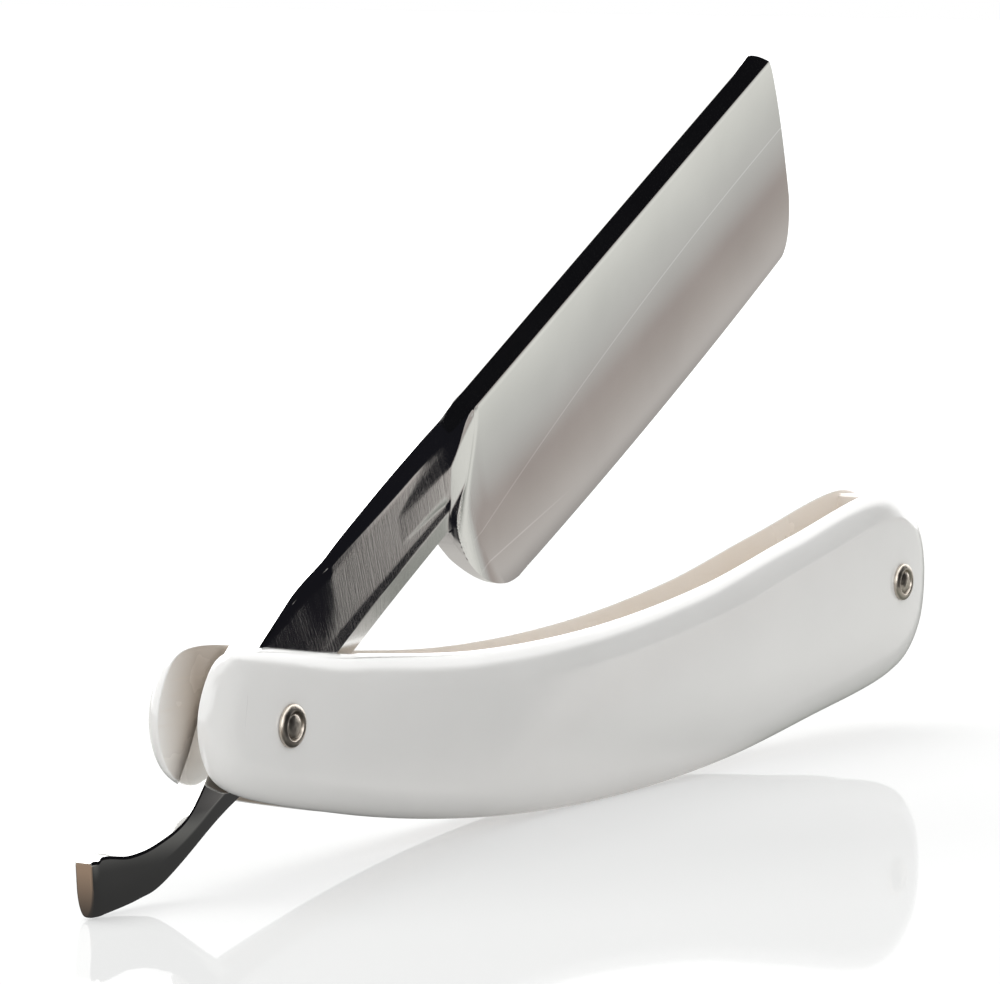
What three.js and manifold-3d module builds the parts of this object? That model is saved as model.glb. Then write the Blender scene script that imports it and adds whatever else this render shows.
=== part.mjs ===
// A straight razor that stands open on the lower edges of its two scales and on the tail of its blade.
// Millimetres. X runs along the scales from the pivot to the wedge end, Z is up, Y crosses the razor.
// The origin is on the surface that the razor stands on, under the middle of the whole object.
import * as THREE from "three";
import { mergeVertices } from "three/addons/utils/BufferGeometryUtils.js";
import Module from "manifold-3d";

const wasm = await Module();
wasm.setup();

// Scales: two crescent plates, flat inside and rounded over outside
const pinSpacing = 127;
const wedgePinRise = 2;
const scaleThickness = 2.5;
const scaleSlot = 4.4;
const scaleArcRadius = 267;
const scaleArcLowest = 56;
const scaleHalfAtPivot = 7;
const scaleHalfAtWedge = 11.15;
const scaleReachPastPivot = 12.1;
const scaleReachPastWedgePin = 8.1;
const scaleEndLength = 13.1;
const scaleEndUpper = 10.6;
const scaleEndLower = 11.2;
const scaleEndPower = 2.3;
const scaleEdgeRadius = 2.2;
const scaleEaseLength = 17;
const scaleEaseDepth = 0.25;

// Wedge: the filler that holds the scales apart at their far end
const wedgeLength = 11.4;
const wedgeInset = 0.4;

// Pins, collars and inner washers
const pinRadius = 0.75;
const pinClearance = 0.3;
const pinHeadRadius = 1.2;
const pinHeadHeight = 0.42;
const collarRadius = 2.1;
const collarRim = 0.2;
const collarHeight = 0.62;
const collarSeatDepth = 0.32;
const collarRingWidth = 0.6;
const washerRadius = 2.9;
const washerThickness = 0.4;

// Blade: spine, hollow faces, toe, cutting edge and heel
const bladeReach = 115.65;
const spineHeight = 8.7;
const spineCrown = 0.2;
const spineTopHalf = 1.7;
const spineHalf = 2.9;
const spineFacetHeight = 1.8;
const edgeDepth = 16.8;
const edgeHalf = 0.15;
const edgeRise = 0.95;
const hollowRadius = 120;
const hollowRimRadius = 16;
const hollowStart = 42;
const toeTopRound = 5.1;
const toeTopDrop = 3.5;
const toeTopLean = 1.15;
const toeEdgeRound = 5.3;
const toeEdgeRise = 5.6;
const toeEdgeLean = 0.55;
const toeBulge = 0.8;

// Shoulder and heel, where the blade rises out of the tang
const shoulderStart = 38;
const shoulderRadius = 2.2;
const shoulderInset = 0.06;
const shoulderRun = 6;
const shoulderTaperShare = 0.07;
const heelReach = 45.2;
const heelRound = 4;
const heelRise = 1.35;
const heelBelly = 1.5;

// Tang: a wedge section between the pivot and the shoulder, flat at the pivot
const tangHalf = 1.7;
const tangHalfAtShoulder = 1.55;
const tangBandHalf = 2.5;
const tangBandStart = 4;
const tangBandFull = 19;
const tangFacetHeight = 0.3;
const tangFacetAtShoulder = 2.3;
const tangFacetInset = 0.06;
const tangTopAtPivot = 6.3;
const tangTopRise = 0.55;
const tangBottomAtPivot = 4.4;
const tangBottomAtShoulder = 2.95;
const tangChamferHeight = 2.2;
const tangChamferWidth = 0.55;

// Tail
const tailLength = 29.3;
const tailTipHalf = 1.1;
const tailTipHeight = 5.2;
const tailTipDrop = 0.5;
const tailTipLean = 0.42;
const tailTipRound = 0.5;
const tailWaistDrop = 0.45;
const tailDepth = 4.45;
const tailNotchDepth = 0.3;
const tailNotchRadius = 0.6;
const tailRestGap = 0.02;

// Places along the tail and the tang, and amounts of rounding, as shares of their lengths and widths
const tailShares = { lip: 0.95, curl: 0.79, waistEnd: 0.65, waistStart: 0.48, neck: 0.3, root: 0.15 };
const tangShares = { near: 0.17, middle: 0.4, far: 0.58, full: 0.79 };
const notchShare = 0.935;
const tailRoundShare = 0.9;
const tipShrinkShare = 0.2;
const rimShare = 0.65;

// How finely the curves are divided
const outlineSteps = 5;
const roundSteps = 5;
const cornerSteps = 9;
const latheSteps = 28;
const wheelSteps = 300;
const stationStep = 1.5;
const bellySteps = 4;
const tipSteps = 3;
const lineSteps = 400;
const tailTests = 120;
const halvings = 40;

// How far cutters and bars run past what they cut
const overrun = 5;

const holeRadius = pinRadius + pinClearance;
const slotHalf = scaleSlot / 2;
const scaleOuter = slotHalf + scaleThickness;

// Turns a closed geometry into a solid that can be joined and cut.
function solidOf(geometry) {
  const bare = geometry.index ? geometry.toNonIndexed() : geometry.clone();
  bare.deleteAttribute("normal");
  bare.deleteAttribute("uv");
  const merged = mergeVertices(bare);
  return new wasm.Manifold(
    new wasm.Mesh({
      numProp: 3,
      vertProperties: merged.getAttribute("position").array,
      triVerts: new Uint32Array(merged.index.array),
    }),
  );
}

// Turns a solid back into a geometry with flat faces.
function geometryOf(solid) {
  const mesh = solid.getMesh();
  const positions = new Float32Array(mesh.numVert * 3);
  for (let i = 0; i < mesh.numVert; i += 1) {
    positions.set(mesh.vertProperties.subarray(i * mesh.numProp, i * mesh.numProp + 3), i * 3);
  }
  const shared = new THREE.BufferGeometry();
  shared.setAttribute("position", new THREE.BufferAttribute(positions, 3));
  shared.setIndex(new THREE.BufferAttribute(new Uint32Array(mesh.triVerts), 1));
  const flat = shared.toNonIndexed();
  flat.computeVertexNormals();
  return flat;
}

// The triangles of a flat ring, wound the way the ring runs.
function capFaces(ring) {
  const span = new THREE.Box3().setFromPoints(ring).getSize(new THREE.Vector3());
  const flat = ring.map((p) => new THREE.Vector2(span.x < span.y ? p.y : p.x, p.z));
  const faces = THREE.ShapeUtils.triangulateShape(flat, []);
  const covered = faces.reduce((sum, face) => sum + THREE.ShapeUtils.area(face.map((i) => flat[i])), 0);
  return covered * THREE.ShapeUtils.area(flat) > 0 ? faces : faces.map(([a, b, c]) => [a, c, b]);
}

// Joins rings of as many points each into one closed skin with flat ends.
function skin(rings) {
  const size = rings[0].length;
  const faces = [];
  for (let r = 0; r + 1 < rings.length; r += 1) {
    for (let i = 0; i < size; i += 1) {
      const a = r * size + i;
      const b = r * size + ((i + 1) % size);
      faces.push([a, b, b + size], [a, b + size, a + size]);
    }
  }
  const last = (rings.length - 1) * size;
  for (const [a, b, c] of capFaces(rings[0])) {
    faces.push([a, c, b]);
  }
  for (const [a, b, c] of capFaces(rings[rings.length - 1])) {
    faces.push([last + a, last + b, last + c]);
  }
  const geometry = new THREE.BufferGeometry().setFromPoints(rings.flat());
  geometry.setIndex(faces.flat());
  return geometry;
}

// A plate seen from the side: outline in X and Z, thickness along Y, centred on the razor's middle plane.
function sidePrism(shape, thickness) {
  const geometry = new THREE.ExtrudeGeometry(shape, {
    depth: thickness,
    bevelEnabled: false,
    curveSegments: cornerSteps,
  });
  return geometry.rotateX(Math.PI / 2).translate(0, thickness / 2, 0);
}

// A bar along X: outline in Y and Z, from one X to another.
function bar(shape, from, to) {
  const geometry = new THREE.ExtrudeGeometry(shape, {
    depth: to - from,
    bevelEnabled: false,
    curveSegments: cornerSteps,
  });
  const turn = new THREE.Matrix4().makeBasis(
    new THREE.Vector3(0, 1, 0),
    new THREE.Vector3(0, 0, 1),
    new THREE.Vector3(1, 0, 0),
  );
  return geometry.applyMatrix4(turn).translate(from, 0, 0);
}

// A straight round cutter across the razor, for a pin hole.
function pinHole(x, z) {
  const length = 2 * (scaleOuter + overrun);
  return new THREE.CylinderGeometry(holeRadius, holeRadius, length, latheSteps).translate(x, 0, z);
}

// Height of the scales' middle line above the pivot. The line is an arc that passes through the pivot.
function scaleMiddle(x) {
  const drop = (d) => scaleArcRadius - Math.sqrt(scaleArcRadius ** 2 - d ** 2);
  return drop(x - scaleArcLowest) - drop(scaleArcLowest);
}

// A point on the upper or lower long edge of a scale.
function scaleEdge(x, side) {
  const lean = Math.asin((x - scaleArcLowest) / scaleArcRadius);
  const along = (x + scaleReachPastPivot) / (pinSpacing + scaleReachPastPivot);
  const half = THREE.MathUtils.lerp(scaleHalfAtPivot, scaleHalfAtWedge, along);
  const across = side * half;
  return new THREE.Vector3(x - across * Math.sin(lean), 0, scaleMiddle(x) + across * Math.cos(lean));
}

// Where the long edges of a scale are read, and the angles of its two ends, in degrees.
const longEdgeShares = [0.1, 0.29, 0.48, 0.67, 0.83];
const pivotEndAngles = [118, 148, 180, 212, 242];
const wedgeEndAngles = [78, 52, 26, 2, -24, -50, -74];

// The closed outline of a scale, with the pivot at its origin.
function scaleOutline() {
  const points = [];
  for (const share of longEdgeShares) {
    points.push(scaleEdge(share * pinSpacing, 1));
  }
  const endX = pinSpacing + scaleReachPastWedgePin - scaleEndLength;
  for (const angle of wedgeEndAngles) {
    const turn = THREE.MathUtils.degToRad(angle);
    const reach = Math.abs(Math.cos(turn)) ** (2 / scaleEndPower);
    const rise = Math.sign(angle) * Math.abs(Math.sin(turn)) ** (2 / scaleEndPower);
    const height = angle > 0 ? scaleEndUpper : scaleEndLower;
    points.push(new THREE.Vector3(endX + scaleEndLength * reach, 0, wedgePinRise + height * rise));
  }
  for (const share of [...longEdgeShares].reverse()) {
    points.push(scaleEdge(share * pinSpacing, -1));
  }
  const pivotX = scaleHalfAtPivot - scaleReachPastPivot;
  for (const angle of [...pivotEndAngles].reverse()) {
    const turn = THREE.MathUtils.degToRad(angle);
    points.push(
      new THREE.Vector3(
        pivotX + scaleHalfAtPivot * Math.cos(turn),
        0,
        scaleMiddle(pivotX) + scaleHalfAtPivot * Math.sin(turn),
      ),
    );
  }
  const curve = new THREE.CatmullRomCurve3(points, true, "centripetal");
  return curve.getPoints(points.length * outlineSteps).slice(0, -1);
}

// The same outline drawn in by a distance, at a height across the razor.
function drawnIn(outline, distance, y) {
  return outline.map((point, i) => {
    const before = outline[(i + outline.length - 1) % outline.length];
    const after = outline[(i + 1) % outline.length];
    const along = after.clone().sub(before).normalize();
    return new THREE.Vector3(point.x + along.z * distance, y, point.z - along.x * distance);
  });
}

// The far scale: flat inside, its outer edge rounded over, eased down a little towards both pins.
function scaleGeometry() {
  const outline = scaleOutline();
  const rings = [drawnIn(outline, 0, slotHalf)];
  for (let i = 0; i <= roundSteps; i += 1) {
    const turn = (i / roundSteps) * (Math.PI / 2);
    const inward = scaleEdgeRadius * (1 - Math.cos(turn));
    rings.push(drawnIn(outline, inward, scaleOuter - scaleEdgeRadius * (1 - Math.sin(turn))));
  }
  let scale = solidOf(skin(rings));
  scale = scale.subtract(solidOf(pinHole(0, 0)));
  scale = scale.subtract(solidOf(pinHole(pinSpacing, wedgePinRise)));
  const slope = Math.atan(scaleEaseDepth / scaleEaseLength);
  const reach = 2 * scaleEaseLength;
  const span = 4 * scaleEndLength;
  for (const [hingeX, side] of [
    [scaleEaseLength - scaleReachPastPivot, -1],
    [pinSpacing + scaleReachPastWedgePin - scaleEaseLength, 1],
  ]) {
    const cutter = new THREE.BoxGeometry(reach, overrun, span);
    cutter.translate((side * reach) / 2, overrun / 2, 0);
    cutter.rotateZ(-side * slope).translate(hingeX, scaleOuter, 0);
    scale = scale.subtract(solidOf(cutter));
  }
  return geometryOf(scale);
}

// The same solid on the other side of the razor.
function mirrored(geometry) {
  const loose = geometry.index ? geometry.toNonIndexed() : geometry.clone();
  const copy = loose.applyMatrix4(new THREE.Matrix4().makeScale(1, -1, 1));
  const position = copy.getAttribute("position");
  for (let i = 0; i < position.count; i += 3) {
    const second = new THREE.Vector3().fromBufferAttribute(position, i + 1);
    const third = new THREE.Vector3().fromBufferAttribute(position, i + 2);
    position.setXYZ(i + 1, third.x, third.y, third.z);
    position.setXYZ(i + 2, second.x, second.y, second.z);
  }
  copy.computeVertexNormals();
  return copy;
}

// The wedge fills the far end of the slot and follows the scales' outline just inside their edge.
function wedgeGeometry() {
  const outline = scaleOutline();
  let wedge = solidOf(skin([-slotHalf, slotHalf].map((y) => drawnIn(outline, wedgeInset, y))));
  const start = pinSpacing + scaleReachPastWedgePin - wedgeLength;
  const span = 4 * scaleEndLength;
  const away = new THREE.BoxGeometry(2 * pinSpacing, span, span).translate(start - pinSpacing, 0, 0);
  wedge = wedge.subtract(solidOf(away));
  return geometryOf(wedge.subtract(solidOf(pinHole(pinSpacing, wedgePinRise))));
}

// A collar: a domed ring with a seat sunk into its top for the pin's head. Y is its axis.
function collarGeometry() {
  const ringInner = collarRadius - collarRingWidth;
  const profile = [new THREE.Vector2(holeRadius, 0), new THREE.Vector2(collarRadius, 0)];
  for (let i = 0; i <= roundSteps; i += 1) {
    const turn = (i / roundSteps) * (Math.PI / 2);
    const rise = (collarHeight - collarRim) * Math.sin(turn);
    profile.push(new THREE.Vector2(ringInner + collarRingWidth * Math.cos(turn), collarRim + rise));
  }
  const seat = collarHeight - collarSeatDepth;
  profile.push(new THREE.Vector2(ringInner, seat), new THREE.Vector2(holeRadius, seat), profile[0].clone());
  return new THREE.LatheGeometry(profile, latheSteps);
}

// A pin with a peened, domed head seated in the collar at each end. Y is its axis.
function pinGeometry(seatAt) {
  const half = [new THREE.Vector2(pinRadius, 0), new THREE.Vector2(pinRadius, seatAt)];
  for (let i = 0; i <= roundSteps; i += 1) {
    const turn = (i / roundSteps) * (Math.PI / 2);
    half.push(new THREE.Vector2(pinHeadRadius * Math.cos(turn), seatAt + pinHeadHeight * Math.sin(turn)));
  }
  half[half.length - 1].x = 0;
  const other = half.slice(1).map((p) => new THREE.Vector2(p.x, -p.y));
  return new THREE.LatheGeometry([...other.reverse(), ...half.slice(1)], latheSteps);
}

// A flat inner washer between the tang and a scale. Y is its axis.
function washerGeometry() {
  const profile = [
    [holeRadius, 0],
    [washerRadius, 0],
    [washerRadius, washerThickness],
    [holeRadius, washerThickness],
    [holeRadius, 0],
  ].map(([x, y]) => new THREE.Vector2(x, y));
  return new THREE.LatheGeometry(profile, latheSteps);
}

// The blade's own frame: X along the spine from the pivot, Z towards the spine, Y across.
// Side view of the blade from the shoulder to the toe.
function bladeShape() {
  const top = spineHeight + spineCrown;
  const toeTop = bladeReach - toeTopLean;
  const toeFoot = bladeReach - toeEdgeLean;
  const edgeEnd = edgeRise / 4 - edgeDepth;
  const heelEnd = edgeRise - edgeDepth;
  const start = shoulderStart - shoulderRadius;
  const shape = new THREE.Shape();
  shape.moveTo(start, top);
  shape.lineTo(bladeReach - toeTopRound, top);
  shape.quadraticCurveTo(toeTop - toeTopLean, top, toeTop, top - toeTopDrop);
  shape.quadraticCurveTo(bladeReach + toeBulge, edgeEnd / 8, toeFoot, edgeEnd + toeEdgeRise);
  shape.quadraticCurveTo(toeFoot - 3 * toeEdgeLean, edgeEnd, toeFoot - toeEdgeRound, edgeEnd);
  const edgeMiddle = (toeFoot + heelReach) / 2;
  shape.quadraticCurveTo(edgeMiddle, -edgeDepth - edgeRise / 2, heelReach + heelRound, heelEnd);
  const heelCorner = heelReach + heelRound / 4;
  shape.quadraticCurveTo(heelCorner, heelEnd, heelReach - heelRound / 4, heelEnd + heelRise);
  shape.quadraticCurveTo(
    shoulderStart + heelBelly,
    (2 * heelEnd - tangBottomAtShoulder) / 3,
    shoulderStart - heelBelly,
    -tangBottomAtShoulder,
  );
  shape.lineTo(start, -tangBottomAtShoulder + tangChamferHeight);
  shape.lineTo(start, spineHeight - spineFacetHeight);
  shape.closePath();
  return shape;
}

// Cross-section of the blade before its faces are hollowed: crowned spine, facets and tapering flanks.
function bladeSection() {
  const facetFoot = spineHeight - spineFacetHeight;
  const shape = new THREE.Shape();
  shape.moveTo(edgeHalf, -edgeDepth);
  shape.lineTo(spineHalf, facetFoot);
  shape.lineTo(spineTopHalf, spineHeight);
  shape.quadraticCurveTo(0, spineHeight + 2 * spineCrown, -spineTopHalf, spineHeight);
  shape.lineTo(-spineHalf, facetFoot);
  shape.lineTo(-edgeHalf, -edgeDepth);
  shape.closePath();
  return shape;
}

// The cutter that frees the far side of the tang and leaves a concave fillet up to the blade at the shoulder.
function shoulderCutter() {
  const base = tangHalfAtShoulder - shoulderInset;
  const height = edgeDepth + spineHeight + overrun;
  const outline = [
    [shoulderStart + shoulderRadius, base + overrun],
    [shoulderStart - shoulderRun, base + overrun],
    [shoulderStart - shoulderRun, base],
  ];
  for (let i = 0; i <= cornerSteps; i += 1) {
    const turn = (i / cornerSteps) * (Math.PI / 2);
    outline.push([
      shoulderStart + shoulderRadius * Math.sin(turn),
      base + shoulderRadius * (1 - Math.cos(turn)),
    ]);
  }
  const shape = new THREE.Shape(outline.map(([x, y]) => new THREE.Vector2(x, y)));
  const cutter = new THREE.ExtrudeGeometry(shape, { depth: 2 * height, bevelEnabled: false });
  const lean = Math.atan(shoulderTaperShare);
  return cutter.translate(0, -base, -height).rotateX(-lean).translate(0, base, 0);
}

// The grinding wheel that hollows the far face, with its rim rounded towards the shoulder.
function hollowWheel() {
  const top = new THREE.Vector2(spineHeight - spineFacetHeight, spineHalf);
  const foot = new THREE.Vector2(-edgeDepth, edgeHalf);
  const chord = foot.clone().sub(top);
  const sag = Math.sqrt(hollowRadius ** 2 - (chord.length() / 2) ** 2);
  const outward = new THREE.Vector2(chord.y, -chord.x).normalize().multiplyScalar(sag);
  const centre = top.clone().add(foot).divideScalar(2).add(outward);
  const deepest = hollowRadius - sag;
  const rimRun = Math.sqrt(hollowRimRadius ** 2 - (hollowRimRadius - deepest) ** 2);
  const rimStart = hollowStart - hollowRimRadius + rimRun;
  const profile = [];
  for (let i = 0; i <= cornerSteps; i += 1) {
    const turn = (rimShare + (1 - rimShare) * (i / cornerSteps)) * (Math.PI / 2);
    profile.push(
      new THREE.Vector2(
        hollowRadius - hollowRimRadius * (1 - Math.sin(turn)),
        rimStart + hollowRimRadius * (1 - Math.cos(turn)),
      ),
    );
  }
  profile.unshift(new THREE.Vector2(0, profile[0].y));
  const end = bladeReach + overrun;
  profile.push(new THREE.Vector2(hollowRadius, end), new THREE.Vector2(0, end));
  return new THREE.LatheGeometry(profile, wheelSteps)
    .rotateZ(-Math.PI / 2)
    .translate(0, centre.y, centre.x);
}

// Blade from the shoulder to the toe: a wedge-shaped bar cut to its side view, with both faces hollowed.
function bladeBody() {
  const wheel = hollowWheel();
  const shoulder = shoulderCutter();
  return solidOf(sidePrism(bladeShape(), 2 * (spineHalf + overrun)))
    .intersect(solidOf(bar(bladeSection(), -overrun, bladeReach + overrun)))
    .subtract(solidOf(shoulder))
    .subtract(solidOf(mirrored(shoulder)))
    .subtract(solidOf(wheel))
    .subtract(solidOf(mirrored(wheel)));
}

// A line along the tang and tail as a function of the distance from the pivot.
function lineThrough(points) {
  const spline = new THREE.SplineCurve(points.map(([x, z]) => new THREE.Vector2(x, z)));
  const samples = spline.getPoints(lineSteps);
  return (x) => {
    const found = samples.findIndex((p) => p.x >= x);
    const next = found < 0 ? samples.length - 1 : Math.max(1, found);
    const a = samples[next - 1];
    const b = samples[next];
    return THREE.MathUtils.lerp(a.y, b.y, THREE.MathUtils.clamp((x - a.x) / (b.x - a.x), 0, 1));
  };
}

// The upper and lower lines of the tang and tail. The tail narrows to a waist and curls up to its tip.
const tangEnd = shoulderStart + shoulderRun;
const upperLine = lineThrough([
  [-tailLength - tailTipHeight, tailTipHeight - tailTipDrop],
  [-tailLength * tailShares.lip, tailTipHeight - tailTipDrop],
  [-tailLength * tailShares.curl, tailTipHeight / 3],
  [-tailLength * tailShares.waistEnd, tailWaistDrop / 3],
  [-tailLength * tailShares.waistStart, -tailWaistDrop],
  [-tailLength * tailShares.neck, tangTopAtPivot / 4],
  [-tailLength * tailShares.root, (2 * tangTopAtPivot) / 3],
  [0, tangTopAtPivot],
  [shoulderStart * tangShares.near, (tangTopAtPivot + spineHeight) / 2],
  [shoulderStart * tangShares.middle, spineHeight],
  [shoulderStart * tangShares.far, spineHeight + (3 * tangTopRise) / 4],
  [shoulderStart * tangShares.full, spineHeight + tangTopRise],
  [shoulderStart, spineHeight + (3 * tangTopRise) / 4],
  [tangEnd, spineHeight - tangFacetInset],
]);
const lowerLine = lineThrough([
  [-tailLength - tailTipHeight, tailTipHeight / 2],
  [-tailLength - tailTipDrop, -tailTipDrop],
  [-tailLength * tailShares.lip, -3 * tailTipDrop],
  [-tailLength * tailShares.curl, 2 * tailTipDrop - tailDepth],
  [-tailLength * tailShares.waistEnd, -tailDepth],
  [-tailLength * tailShares.neck, -tailDepth],
  [0, -tangBottomAtPivot],
  [shoulderStart * tangShares.far, (-tangBottomAtPivot - 3 * tangBottomAtShoulder) / 4],
  [shoulderStart, -tangBottomAtShoulder],
  [tangEnd, -tangBottomAtShoulder],
]);

// One cross-section of the tang or tail, as a ring of points around a place along it.
function tangRing(place) {
  const { lerp, smoothstep } = THREE.MathUtils;
  const inTail = smoothstep(-place, 0, tailLength / 2);
  const toTip = smoothstep(-place, 0, tailLength);
  const atTip = smoothstep(-place, tailLength - tailTipRound, tailLength);
  const widening = smoothstep(place, tangBandStart, tangBandFull);
  const sinking = smoothstep(place, shoulderStart, tangEnd);
  const flank = lerp(tangHalf, tangHalfAtShoulder, widening);
  const side = lerp(flank, tailTipHalf, toTip) * (1 - sinking / 4);
  const footHalf = lerp(lerp(side, tangBandHalf, widening), spineHalf - shoulderInset, sinking);
  const topHalf = lerp(footHalf - tangFacetInset, spineTopHalf - shoulderInset, sinking);
  const deepening = smoothstep(place, 0, shoulderStart - shoulderRun);
  const tangFacet = lerp(tangFacetHeight, tangFacetAtShoulder, deepening);
  const facet = lerp(tangFacet, spineFacetHeight, sinking);
  const lean = tailTipLean * inTail;
  const reach = (lean * tailTipHeight) / 2;
  const high = new THREE.Vector2(place + reach, upperLine(place + reach));
  const low = new THREE.Vector2(place - reach, lowerLine(place - reach));
  const tall = high.distanceTo(low);
  const round = lerp(tangChamferWidth, side * tailRoundShare, inTail);
  const roundHeight = lerp(tangChamferHeight, side * tailRoundShare, inTail);
  const power = lerp(2, 1, inTail);
  const flare = (height) => Math.max(0, (height + low.y) / (tall + low.y - facet)) * widening;
  const half = [];
  for (let i = 0; i <= bellySteps; i += 1) {
    const turn = (i / bellySteps) * (Math.PI / 2);
    const out = Math.sin(turn) ** power;
    const up = roundHeight * (1 - Math.max(Math.cos(turn), 0) ** power);
    half.push([lerp(side, footHalf, flare(up)) - round * (1 - out), up]);
  }
  half.push([footHalf, tall - facet]);
  half.push([topHalf, tall]);
  const other = half.map(([y, height]) => [-y, height]).reverse();
  return [...half, ...other].map(([y, height]) => {
    const shrunk = lerp(height, tall / 2, atTip * tipShrinkShare);
    const spot = low.clone().lerp(high, shrunk / tall);
    return new THREE.Vector3(spot.x, y * (1 - atTip * tipShrinkShare), spot.y);
  });
}

// Tang and tail as one skin over cross-sections, with a small notch behind the tail's lip.
function tangBody() {
  const count = Math.ceil((tangEnd + tailLength - tailTipRound) / stationStep);
  const rings = [];
  for (let i = 0; i < tipSteps; i += 1) {
    rings.push(tangRing(-tailLength + (i / tipSteps) * tailTipRound));
  }
  for (let i = 0; i <= count; i += 1) {
    rings.push(tangRing(THREE.MathUtils.lerp(tailTipRound - tailLength, tangEnd, i / count)));
  }
  const notchAt = -tailLength * notchShare;
  const notch = new THREE.CylinderGeometry(tailNotchRadius, tailNotchRadius, 2 * overrun, latheSteps);
  notch.translate(notchAt, 0, upperLine(notchAt) + tailNotchRadius - tailNotchDepth);
  return solidOf(skin(rings)).subtract(solidOf(notch));
}

// Blade, shoulder, tang and tail, forged in one piece and drilled for the pivot pin.
function bladeGeometry() {
  return geometryOf(bladeBody().add(tangBody()).subtract(solidOf(pinHole(0, 0))));
}

// The razor stands on the lowest point of its scales, with the blade open until its tail touches too.
const pivotHeight = -Math.min(...scaleOutline().map((p) => p.z));

function tailClearance(angle) {
  let least = pivotHeight;
  for (let i = 0; i <= tailTests; i += 1) {
    const x = (-tailLength * i) / tailTests;
    least = Math.min(least, pivotHeight + x * Math.sin(angle) + lowerLine(x) * Math.cos(angle));
  }
  return least;
}

function restAngle() {
  let closed = 0;
  let open = Math.PI / 2;
  for (let i = 0; i < halvings; i += 1) {
    const middle = (closed + open) / 2;
    if (tailClearance(middle) > tailRestGap) {
      closed = middle;
    } else {
      open = middle;
    }
  }
  return closed;
}

// Finishes: white moulded scales, mirror-polished steel, warm nickel collars and brass washers.
function finish(name, color, roughness, metalness) {
  return new THREE.MeshStandardMaterial({ name, color, roughness, metalness });
}
const whiteGloss = finish("white_gloss", 0xe9e8e5, 0.12, 0);
const ivoryFiller = finish("ivory_filler", 0xe3dccf, 0.3, 0);
const polishedSteel = finish("polished_steel", 0xc9c9c8, 0.08, 1);
const warmNickel = finish("warm_nickel", 0xb9ab9a, 0.25, 1);
const brass = finish("brass", 0xb99a5c, 0.35, 1);

function piece(name, geometry, material, parent) {
  const mesh = new THREE.Mesh(geometry, material);
  mesh.name = name;
  parent.add(mesh);
  return mesh;
}

// The handle: everything that stays still while the blade turns. Its own origin is the pivot.
const handle = new THREE.Group();
const scale = scaleGeometry();
piece("back_scale", scale, whiteGloss, handle);
piece("front_scale", mirrored(scale), whiteGloss, handle);
piece("wedge", wedgeGeometry(), ivoryFiller, handle);

const collar = collarGeometry();
for (const [name, x, z, reach] of [
  ["pivot", 0, 0, scaleReachPastPivot],
  ["wedge", pinSpacing, wedgePinRise, scaleReachPastWedgePin],
]) {
  const eased = scaleEaseDepth * ((scaleEaseLength - reach - collarRadius) / scaleEaseLength);
  const foot = scaleOuter - eased;
  const back = piece(`${name}_collar_back`, collar, warmNickel, handle);
  back.position.set(x, foot, z);
  const front = piece(`${name}_collar_front`, collar, warmNickel, handle);
  front.rotation.x = Math.PI;
  front.position.set(x, -foot, z);
  const pin = piece(`${name}_pin`, pinGeometry(foot + collarHeight - collarSeatDepth), warmNickel, handle);
  pin.position.set(x, 0, z);
}

const washer = washerGeometry();
piece("pivot_washer_back", washer, brass, handle).position.y = slotHalf - washerThickness;
piece("pivot_washer_front", washer, brass, handle).position.y = -slotHalf;

// The blade turns about the pivot pin.
const blade = new THREE.Group();
piece("blade", bladeGeometry(), polishedSteel, blade);
blade.rotation.y = -restAngle();

const razor = new THREE.Group();
razor.add(handle, blade);
const box = new THREE.Box3().setFromObject(razor, true);
handle.position.set(-(box.min.x + box.max.x) / 2, 0, pivotHeight);
blade.position.copy(handle.position);

export default razor;
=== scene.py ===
import math

import bmesh
import bpy
import numpy as np
from mathutils import Matrix, Vector

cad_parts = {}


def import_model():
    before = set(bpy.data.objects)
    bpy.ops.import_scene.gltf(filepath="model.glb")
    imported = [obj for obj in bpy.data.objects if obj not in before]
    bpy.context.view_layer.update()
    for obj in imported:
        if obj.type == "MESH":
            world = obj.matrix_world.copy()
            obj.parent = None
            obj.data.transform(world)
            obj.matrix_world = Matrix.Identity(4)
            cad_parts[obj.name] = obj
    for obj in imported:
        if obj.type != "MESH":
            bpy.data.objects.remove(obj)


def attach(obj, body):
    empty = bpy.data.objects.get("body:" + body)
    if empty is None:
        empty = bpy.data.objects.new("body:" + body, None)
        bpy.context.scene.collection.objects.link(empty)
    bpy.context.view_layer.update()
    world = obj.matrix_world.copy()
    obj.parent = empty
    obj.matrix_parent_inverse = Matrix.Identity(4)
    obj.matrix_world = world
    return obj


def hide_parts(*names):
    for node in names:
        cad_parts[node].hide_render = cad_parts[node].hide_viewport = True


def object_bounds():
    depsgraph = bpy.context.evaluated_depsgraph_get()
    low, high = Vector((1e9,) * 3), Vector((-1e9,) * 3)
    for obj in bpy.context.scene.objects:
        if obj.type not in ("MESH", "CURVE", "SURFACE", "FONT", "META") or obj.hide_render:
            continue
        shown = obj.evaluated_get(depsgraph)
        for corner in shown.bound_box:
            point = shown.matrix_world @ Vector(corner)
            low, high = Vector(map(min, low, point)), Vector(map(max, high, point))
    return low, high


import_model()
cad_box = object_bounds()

# Sizes in millimetres, as in the part's source. They are turned into metres where a mesh is made.
MM = 0.001
PIVOT_X, PIVOT_Z = -54.103, 15.071
REST_ANGLE = math.radians(29.314)
PIN_SPACING, WEDGE_RISE = 127.0, 2.0

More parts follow.
